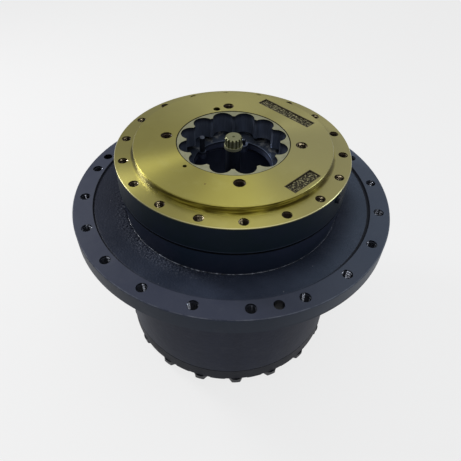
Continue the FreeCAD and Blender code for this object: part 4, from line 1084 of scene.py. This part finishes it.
@dataclass
class ThreadedHoles:
    """Helical thread ridges in one set of tapped holes, in millimetres. Shares are parts of the pitch."""

    name: str
    body: Body
    slot: str
    places: list[tuple[float, float]]
    hole_radius: float
    pitch: float
    mouth: float
    depth: float
    steps: int = 20
    clearance: float = 0.02
    height_share: float = 0.58
    start_share: float = 0.55
    root_share: float = 0.42
    crest_share: float = 0.07
    least_fade: float = 0.15

    def ridge(self, mesh: Mesh, across: float, along: float) -> None:
        """Add the thread of one hole.

        Args:
            mesh: the mesh that grows.
            across: the hole's X.
            along: the hole's Y.
        """
        outer = self.hole_radius - self.clearance
        rows = []
        count = int(self.steps * (self.depth - self.pitch) / self.pitch)
        for step in range(count + 1):
            turn = 2 * math.pi * step / self.steps
            level = self.mouth - self.start_share * self.pitch - self.pitch * step / self.steps
            fade = min(1.0, step / self.steps + self.least_fade,
                       (count - step) / self.steps + self.least_fade)
            inner = outer - self.height_share * self.pitch * fade
            row = []
            for radius, drop in ((outer, self.root_share), (inner, self.crest_share),
                                 (inner, -self.crest_share), (outer, -self.root_share)):
                row.append(((across + radius * math.cos(turn)) * MM, (along + radius * math.sin(turn)) * MM,
                            (level + drop * self.pitch) * MM))
            rows.append(row)
        mesh.grid(rows, closed_rows=True, closed_columns=False, caps=True)

    def build(self, material: Material) -> bpy.types.Object:
        """Make the threads of all the holes as one piece.

        Args:
            material: finish of the flanks.

        Returns:
            The piece.
        """
        mesh = Mesh()
        for across, along in self.places:
            self.ridge(mesh, across, along)
        made = mesh.piece(self.name, material, smooth=False)
        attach(made, self.body.value)
        LOG.info("%s: %d holes, %d faces", self.name, len(self.places), len(mesh.faces))
        return made


def on_circle(radius: float, count: int, first: float) -> list[tuple[float, float]]:
    """Places evenly spaced on a circle.

    Args:
        radius: the circle's radius.
        count: how many.
        first: angle of the first.

    Returns:
        X and Y of each.
    """
    return [(radius * math.cos(math.radians(first + 360 * step / count)),
             radius * math.sin(math.radians(first + 360 * step / count))) for step in range(count)]


@dataclass
class Threads:
    """All the tapped holes that show, in millimetres and degrees."""

    sprocket_circle: float = 270.0
    sprocket_count: int = 20
    sprocket_first: float = 15.4
    frame_circle: float = 188.0
    frame_count: int = 18
    frame_first: float = 10.0
    motor_circle: float = 116.0
    motor_angle: float = 50.0

    def build(self) -> None:
        """Make the threads of the sprocket, frame and motor holes."""
        dark = ThreadFinish("thread_steel", linear(20, 23, 32), linear(172, 177, 190)).material()
        rusty = ThreadFinish("thread_steel_brown", linear(44, 35, 25), linear(160, 148, 120)).material()
        across = self.motor_circle * math.cos(math.radians(self.motor_angle))
        along = self.motor_circle * math.sin(math.radians(self.motor_angle))
        ThreadedHoles("sprocket_threads", Body.TURNING, "bare_steel",
                      on_circle(self.sprocket_circle, self.sprocket_count, self.sprocket_first),
                      hole_radius=9.0, pitch=2.5, mouth=LEVELS.sprocket_face, depth=33.0).build(dark)
        ThreadedHoles("frame_threads", Body.FIXED, "bare_steel",
                      on_circle(self.frame_circle, self.frame_count, self.frame_first),
                      hole_radius=8.0, pitch=2.0, mouth=LEVELS.frame_face, depth=28.0).build(rusty)
        ThreadedHoles("motor_threads", Body.FIXED, "bare_steel",
                      [(side * across, face * along) for side in (-1, 1) for face in (-1, 1)],
                      hole_radius=10.0, pitch=2.5, mouth=LEVELS.pilot_face, depth=38.0).build(rusty)


@dataclass
class CastingSkin:
    """Rough skin of the casting on the web between neck and machined rim, in millimetres."""

    inner_radius: float = 197.2
    outer_radius: float = 252.6
    thickness: float = 0.6
    web_inner: float = 196.0
    web_outer: float = 253.2
    rim_height: float = 3.0
    around: int = 1400
    across: int = 42
    grain: float = 0.22
    fine_grain: float = 0.10
    lump: float = 3.2
    patch_scale: float = 0.045
    coarse_scale: float = 0.30
    fine_scale: float = 0.55
    rough_side: float = 168.0
    rough_inner: float = 197.0
    rough_width: float = 30.0
    edge_width: float = 2.0
    edge_sunk: float = 0.05

    def level(self, radius: float) -> float:
        """Height of the web at a radius."""
        share = (radius - self.web_inner) / (self.web_outer - self.web_inner)
        return LEVELS.web_foot + share * (LEVELS.sprocket_face - self.rim_height - LEVELS.web_foot)

    def lift(self, radius: float, angle: float) -> float:
        """How far the skin stands over the web at a place.

        Args:
            radius: in millimetres.
            angle: in degrees.

        Returns:
            The height in millimetres.
        """
        spot = Vector((radius * math.cos(math.radians(angle)), radius * math.sin(math.radians(angle)), 0.0))
        side = 0.5 + 0.5 * math.cos(math.radians(angle - self.rough_side))
        patch = 0.75 + 0.5 * noise.noise(spot * self.patch_scale)
        near_neck = max(0.0, 1.0 - (radius - self.rough_inner) / self.rough_width)
        coarse = noise.fractal(spot * self.coarse_scale, 1.0, 2.1, 4)
        fine = noise.fractal(spot * self.fine_scale + Vector((0, 0, 7)), 0.9, 2.0, 3)
        lumps = max(0.0, coarse + 0.1) * (self.grain + self.lump * patch * near_neck ** 1.3 * side ** 1.6)
        inside = min(radius - self.inner_radius, self.outer_radius - radius) / self.edge_width
        edge = max(0.0, min(1.0, inside))
        return edge * (self.grain + self.fine_grain * fine + lumps) - self.edge_sunk * (1 - edge)

    def build(self, material: Material) -> bpy.types.Object:
        """Make the skin as a thin closed ring.

        Args:
            material: paint of the casting.

        Returns:
            The piece.
        """
        rows = []
        for step in range(self.around):
            angle = 360 * step / self.around
            row = []
            for place in range(self.across + 1):
                radius = self.inner_radius + (self.outer_radius - self.inner_radius) * place / self.across
                row.append(turn_circle(radius, angle, self.level(radius) + self.lift(radius, angle)))
            for radius in (self.outer_radius, self.inner_radius):
                row.append(turn_circle(radius, angle, self.level(radius) - self.thickness))
            rows.append(row)
        mesh = Mesh()
        mesh.grid(rows, closed_rows=True, closed_columns=True)
        made = mesh.piece("casting_skin", material)
        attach(made, Body.TURNING.value)
        LOG.info("casting_skin: %d faces", len(mesh.faces))
        return made


@dataclass
class RecessFloor:
    """Rough milled floor of a bare label recess, in millimetres."""

    name: str
    recess: LabelRecess
    gap: float = 0.05
    sunk: float = 0.1
    least: float = 0.03
    edge_rise: float = 0.1
    mean_rise: float = 0.42
    coarse_rise: float = 1.1
    fine_rise: float = 0.2
    coarse_scale: float = 0.30
    fine_scale: float = 1.3
    grain: float = 0.55
    edge_width: float = 2.0

    @property
    def half_across(self) -> float:
        """Half of the floor's size across."""
        return self.recess.half_across - self.gap

    @property
    def half_along(self) -> float:
        """Half of the floor's size along."""
        return self.recess.half_along - self.gap

    def lift(self, across: float, along: float) -> float:
        """How far the floor stands over the bottom of the recess at a place.

        Args:
            across: from the middle of the recess.
            along: from the middle of the recess.

        Returns:
            The height in millimetres.
        """
        spot = Vector((across, along, self.recess.across))
        coarse = noise.fractal(spot * self.coarse_scale, 1.0, 2.0, 2)
        fine = noise.fractal(spot * self.fine_scale, 0.9, 2.0, 2)
        rough = self.mean_rise + self.coarse_rise * coarse + self.fine_rise * fine
        inside = min(self.half_across - abs(across), self.half_along - abs(along)) / self.edge_width
        return self.edge_rise + max(0.0, min(1.0, inside)) * rough

    def build(self, material: Material) -> bpy.types.Object:
        """Make the floor as a thin closed slab.

        Args:
            material: finish of the floor.

        Returns:
            The piece.
        """
        foot = LEVELS.recess_foot
        columns = round(2 * self.half_along / self.grain)
        lines = round(2 * self.half_across / self.grain)
        rows = []
        for column in range(columns + 1):
            along = -self.half_along + 2 * self.half_along * column / columns
            row = []
            for line in range(lines + 1):
                across = -self.half_across + 2 * self.half_across * line / lines
                row.append(((self.recess.across + across) * MM, (self.recess.along + along) * MM,
                            (foot + max(self.least, self.lift(across, along))) * MM))
            for across in (self.half_across, -self.half_across):
                row.append(((self.recess.across + across) * MM, (self.recess.along + along) * MM,
                            (foot - self.sunk) * MM))
            rows.append(row)
        mesh = Mesh()
        mesh.grid(rows, closed_rows=True, closed_columns=False, caps=True)
        made = mesh.piece(self.name, material)
        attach(made, Body.FIXED.value)
        LOG.info("%s: %d faces", self.name, len(mesh.faces))
        return made


@dataclass
class PaintBead:
    """Uneven line of thick paint in the corner at the neck's foot, pale in patches as a painted highlight,
    in millimetres.
    """

    radius: float = 196.6
    level: float = 331.6
    thickness: float = 0.9
    around: int = 720
    sides: int = 8
    thin: float = 0.2
    swollen: float = 0.15
    lump: float = 1.3
    lump_scale: float = 34.0
    near_angle: float = 212.0
    near_half: float = 46.0
    near_fade: float = 22.0

    def swell(self, angle: float) -> float:
        """How thick the bead is at an angle, thick and lumpy at the near side alone.

        Args:
            angle: in degrees.

        Returns:
            The share of the bead's thickness.
        """
        spot = Vector((math.cos(math.radians(angle)), math.sin(math.radians(angle)), 0.3))
        share = max(0.0, min(1.0, (self.near_half - abs(angle - self.near_angle)) / self.near_fade))
        lump = max(0.0, noise.fractal(spot * self.lump_scale, 1.0, 2.0, 3) + 0.1)
        return self.thin + (self.swollen + self.lump * lump) * share

    def build(self, material: Material) -> bpy.types.Object:
        """Make the bead.

        Args:
            material: glossy paint, pale in patches as a painted highlight.

        Returns:
            The piece.
        """
        rows = []
        for step in range(self.around):
            angle = 360 * step / self.around
            thick = self.thickness * self.swell(angle)
            row = []
            for side in range(self.sides):
                turn = 2 * math.pi * side / self.sides
                row.append(turn_circle(self.radius + thick * math.cos(turn), angle,
                                       self.level + thick * math.sin(turn)))
            rows.append(row)
        mesh = Mesh()
        mesh.grid(rows, closed_rows=True, closed_columns=True)
        made = mesh.piece("neck_paint_bead", material)
        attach(made, Body.TURNING.value)
        LOG.info("neck_paint_bead: %d faces", len(mesh.faces))
        return made


@dataclass
class CoverPads:
    """Raised cast pads of the cover between the spot faces of its bolts, in millimetres."""

    seat: float = 24.0
    sunk: float = 1.0
    depth: float = 2.6
    inner: float = 190.0
    outer: float = 218.4
    corner: float = 1.2
    least_corner: float = 0.2
    bend: float = 0.3
    squareness: int = 6
    first: float = 19.9
    count: int = 18
    half_angle: float = 4.4
    steps: int = 18

    def section(self, angle: float, share: float) -> list[Point]:
        """One section of a pad, as a closed loop.

        Args:
            angle: where it stands, in degrees.
            share: share of the full depth at that angle.

        Returns:
            The corners of the loop.
        """
        low = self.seat + self.sunk / 2 - (self.depth + self.sunk / 2) * share
        soft = self.corner * max(share, self.least_corner)
        bend = self.bend * soft
        top = self.seat + self.sunk
        corners = ((self.outer, top), (self.inner, top), (self.inner, low + soft), (self.inner + soft, low),
                   (self.outer - soft, low), (self.outer - bend, low + bend), (self.outer, low + soft))
        return [turn_circle(radius, angle, level) for radius, level in corners]

    def build(self, material: Material) -> bpy.types.Object:
        """Make the pads.

        Args:
            material: paint of the cover.

        Returns:
            The piece.
        """
        mesh = Mesh()
        for pad in range(self.count):
            middle = self.first + 360 * pad / self.count
            rows = []
            for step in range(self.steps + 1):
                along = 2 * step / self.steps - 1
                rows.append(self.section(middle + self.half_angle * along,
                                         math.sqrt(1 - along ** self.squareness)))
            mesh.grid(rows, closed_rows=True, closed_columns=False, caps=True)
        made = mesh.piece("cover_pads", material)
        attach(made, Body.TURNING.value)
        LOG.info("cover_pads: %d faces", len(mesh.faces))
        return made


@dataclass
class CadDress:
    """Better materials for the solids that stay as they are."""

    finishes: dict[str, tuple[str, ...]] = field(default_factory=lambda: {
        "drum": ("hub_housing",),
        "cover": ("cover",),
        "plug": ("skirt_plug",),
        "bolts": ("cover_bolts", "drain_plug", "level_plug", "carrier_bolts", "retainer_bolts",
                  "first_retaining_rings"),
        "ground": ("thrust_button", "upper_inner_race", "upper_outer_race", "upper_rollers",
                   "lower_inner_race", "lower_outer_race", "lower_rollers", "preload_shim"),
        "pins": ("guide_pins",),
        "gears": ("ring_gear", "output_sun", "output_retainer"),
        "iron": ("output_carrier", "first_carrier", "fixed_seal_ring", "turning_seal_ring"),
        "bronze": ("plug_seals", "output_thrust_washers", "first_thrust_washers"),
        "rubber": ("cover_o_ring", "fixed_seal_cushion", "turning_seal_cushion"),
    })
    numbered: tuple[tuple[str, str, int], ...] = (
        ("ground", "output_pin_{}", 4), ("gears", "output_planet_{}", 4), ("bronze", "output_bush_{}", 4),
        ("ground", "first_pin_{}", 3), ("gears", "first_planet_{}", 3), ("bronze", "first_bush_{}", 3),
    )

    def makers(self) -> dict[str, Callable[[], Material]]:
        """What makes the material of each group.

        Returns:
            The group's name with a call that makes its material.
        """
        return {
            "drum": CastingPaint().material,
            "cover": PlainPaint("cover_paint", linear(24, 27, 37), linear(19, 22, 31), roughness=0.5,
                                grain=300.0, gloss=0.12).material,
            "plug": PlainPaint("plug_paint", linear(22, 26, 36), linear(15, 18, 26), roughness=0.4).material,
            "bolts": BareMetal("bolt_steel", linear(30, 32, 39), linear(19, 21, 27), 0.46,
                               Lay.DRAWN, 0.4).material,
            "ground": BareMetal("ground_steel", linear(196, 198, 200), linear(168, 166, 158), 0.22).material,
            "pins": BareMetal("pin_steel", linear(74, 80, 92), linear(38, 43, 54), 0.3,
                              Lay.DRAWN, 0.85).material,
            "gears": BareMetal("gear_steel", linear(170, 170, 168), linear(140, 132, 112), 0.3).material,
            "iron": BareMetal("machined_iron", linear(122, 122, 124), linear(98, 94, 88), 0.42,
                              Lay.TURNED, 0.8).material,
            "bronze": BareMetal("bearing_bronze", linear(196, 152, 88), linear(164, 118, 66), 0.3,
                                Lay.TURNED).material,
            "rubber": RubberFinish().material,
        }

    @staticmethod
    def dress(node: str, material: Material) -> None:
        """Give every slot of a CAD node one material.

        Args:
            node: the node's name.
            material: the material.
        """
        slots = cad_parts[node].material_slots
        if not slots:
            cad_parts[node].data.materials.append(material)
        for each in slots:
            each.material = material

    def build(self) -> None:
        """Make each material once and dress all the nodes."""
        made = {name: maker() for name, maker in self.makers().items()}
        for name, nodes in self.finishes.items():
            for node in nodes:
                self.dress(node, made[name])
        for name, pattern, count in self.numbered:
            for number in range(1, count + 1):
                self.dress(pattern.format(number), made[name])
        self.dress("spindle", SpindleFinish().material())
        self.dress("brake_slot_ring", SlotRingFinish().material())
        self.dress("input_shaft", ShaftFinish().material())
        LOG.info("dressed %d nodes", len(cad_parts))


@dataclass
class Lamp:
    """A soft area lamp that looks at the drive, in metres and watts."""

    name: str
    place: Point
    power: float
    width: float
    colour: Colour = (1.0, 1.0, 1.0)
    aim: Point = (0.0, 0.0, 0.3)

    def build(self) -> bpy.types.Object:
        """Make the lamp.

        Returns:
            The lamp.
        """
        data = bpy.data.lights.new(self.name, "AREA")
        data.shape = "DISK"
        data.size = self.width
        data.energy = self.power
        data.color = self.colour
        made = bpy.data.objects.new(self.name, data)
        made.location = self.place
        made.rotation_euler = (Vector(self.aim) - Vector(self.place)).to_track_quat("-Z", "Y").to_euler()
        bpy.context.scene.collection.objects.link(made)
        return made


@dataclass
class Studio:
    """Pale floor in millimetres, white surroundings, and the lamps and camera in metres."""

    floor_radius: float = 14000.0
    floor_level: float = -0.2
    floor_sides: int = 64
    floor_rings: tuple[float, ...] = (0.02, 0.1, 1.0)
    floor_colour: Colour = linear(236, 236, 237)
    floor_shade: Colour = linear(233, 233, 235)
    background: Colour = linear(240, 240, 240)
    steady_share: float = 0.9
    ambient: float = 0.40
    ambient_colour: Colour = (0.95, 0.97, 1.0)
    sky_dark: Colour = (0.0, 0.0, 0.0)
    sky_foot: float = 0.28
    sky_side: float = 0.22
    sky_low: float = 0.24
    sky_high: float = 0.74
    lens: float = 34.0
    sensor: float = 36.0
    camera_place: Point = (-0.45386, -0.44445, 0.86671)
    camera_turn: Point = (45.1104, -1.2631, -44.3136)
    lamps: list[Lamp] = field(default_factory=lambda: [
        Lamp("overhead", (0.1, -0.1, 2.4), 19.0, 1.8),
        Lamp("key", (-0.5, 1.7, 1.5), 34.0, 0.55),
        Lamp("front_fill", (-1.8, -1.6, 0.9), 3.5, 1.4),
        Lamp("right_fill", (1.6, -1.5, 1.0), 6.0, 1.0, (0.82, 0.92, 1.0)),
    ])

    def floor(self) -> bpy.types.Object:
        """A round pale floor that looks white to the camera and keeps the shadow.

        Returns:
            The floor.
        """
        mesh = Mesh()
        rows = [[turn_circle(self.floor_radius * share, 360 * step / self.floor_sides, self.floor_level)
                 for step in range(self.floor_sides)] for share in self.floor_rings]
        mesh.grid(rows, closed_rows=True, closed_columns=False)
        mesh.faces.append(tuple(range(self.floor_sides)))
        graph = Graph("pale_floor")
        tint = graph.blend(graph.cloud(1.5, 2.0), self.floor_colour, self.floor_shade)
        graph.surface(tint, 0.9, 0.0, gloss=0.1)
        self.even_out(graph)
        made = mesh.piece("floor", graph.material, smooth=False)
        return made

    def even_out(self, graph: Graph) -> None:
        """Mix a steady pale tone into what the camera and the reflections see of the floor.

        Args:
            graph: the floor's graph.
        """
        steady = graph.nodes.new("ShaderNodeEmission")
        graph.feed(steady.inputs[0], self.background)
        graph.mixed("Material Output", graph.both(graph.seen_directly(), self.steady_share),
                    graph.shader.outputs[0], steady.outputs[0])

    def world(self) -> None:
        """White to the eye and in reflections, softer as a light."""
        world = bpy.data.worlds.new("studio")
        bpy.context.scene.world = world
        world.use_nodes = True
        tree = Tree(world.node_tree)
        seen = tree.nodes["Background"]
        tree.feed(seen.inputs[0], self.sky(tree))
        light = tree.nodes.new("ShaderNodeBackground")
        tree.feed(light.inputs[0], self.ambient_colour)
        tree.feed(light.inputs[1], self.ambient)
        tree.mixed("World Output", tree.seen_directly(), light.outputs[0], seen.outputs[0])

    def sky(self, tree: Tree) -> Socket:
        """Colour of the surroundings: white to the eye, dimmer towards the horizon in reflections.

        Args:
            tree: the world's tree.

        Returns:
            The colour.
        """
        across, along, up = tree.split(tree.nodes.new("ShaderNodeTexCoord").outputs["Generated"])
        height = tree.math("MULTIPLY_ADD", tree.math("SUBTRACT", across, along), self.sky_side, up)
        dimmed = tree.curved(height, self.sky_low, self.sky_high, self.sky_foot)
        eye = tree.nodes.new("ShaderNodeLightPath").outputs["Is Camera Ray"]
        return tree.blend(tree.either(dimmed, eye), self.sky_dark, self.background)

    def camera(self) -> None:
        """The camera at the photograph's place and angle."""
        data = bpy.data.cameras.new("camera")
        data.lens = self.lens
        data.sensor_width = self.sensor
        data.clip_start = 0.01
        made = bpy.data.objects.new("camera", data)
        turn = Euler([math.radians(angle) for angle in self.camera_turn], "XYZ")
        made.matrix_world = Matrix.Translation(self.camera_place) @ turn.to_matrix().to_4x4()
        bpy.context.scene.collection.objects.link(made)
        bpy.context.scene.camera = made

    def build(self) -> None:
        """Set the stage."""
        bpy.context.scene.view_settings.view_transform = "Standard"
        self.floor()
        self.world()
        self.camera()
        for lamp in self.lamps:
            lamp.build()
        LOG.info("studio: %d lamps", len(self.lamps))


def main() -> None:
    """Build every class in order."""
    logging.basicConfig(level=logging.INFO, format="%(name)s %(message)s")
    Studio().build()
    CadDress().build()
    CastingSkin().build(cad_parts["hub_housing"].material_slots[0].material)
    # the bead's pale patches are a painted highlight
    PaintBead().build(PlainPaint("bead_highlight_paint", linear(150, 156, 170), linear(22, 26, 36), roughness=0.16,
                                 grain=900.0, gloss=0.5, patches=150.0).material())
    CoverPads().build(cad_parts["cover"].material_slots[0].material)
    worn = RecessFinish().material()
    RecessFloor("long_recess_floor", LONG_RECESS).build(worn)
    RecessFloor("short_recess_floor", SHORT_RECESS).build(worn)
    Threads().build()


if __name__ == "__main__":
    main()
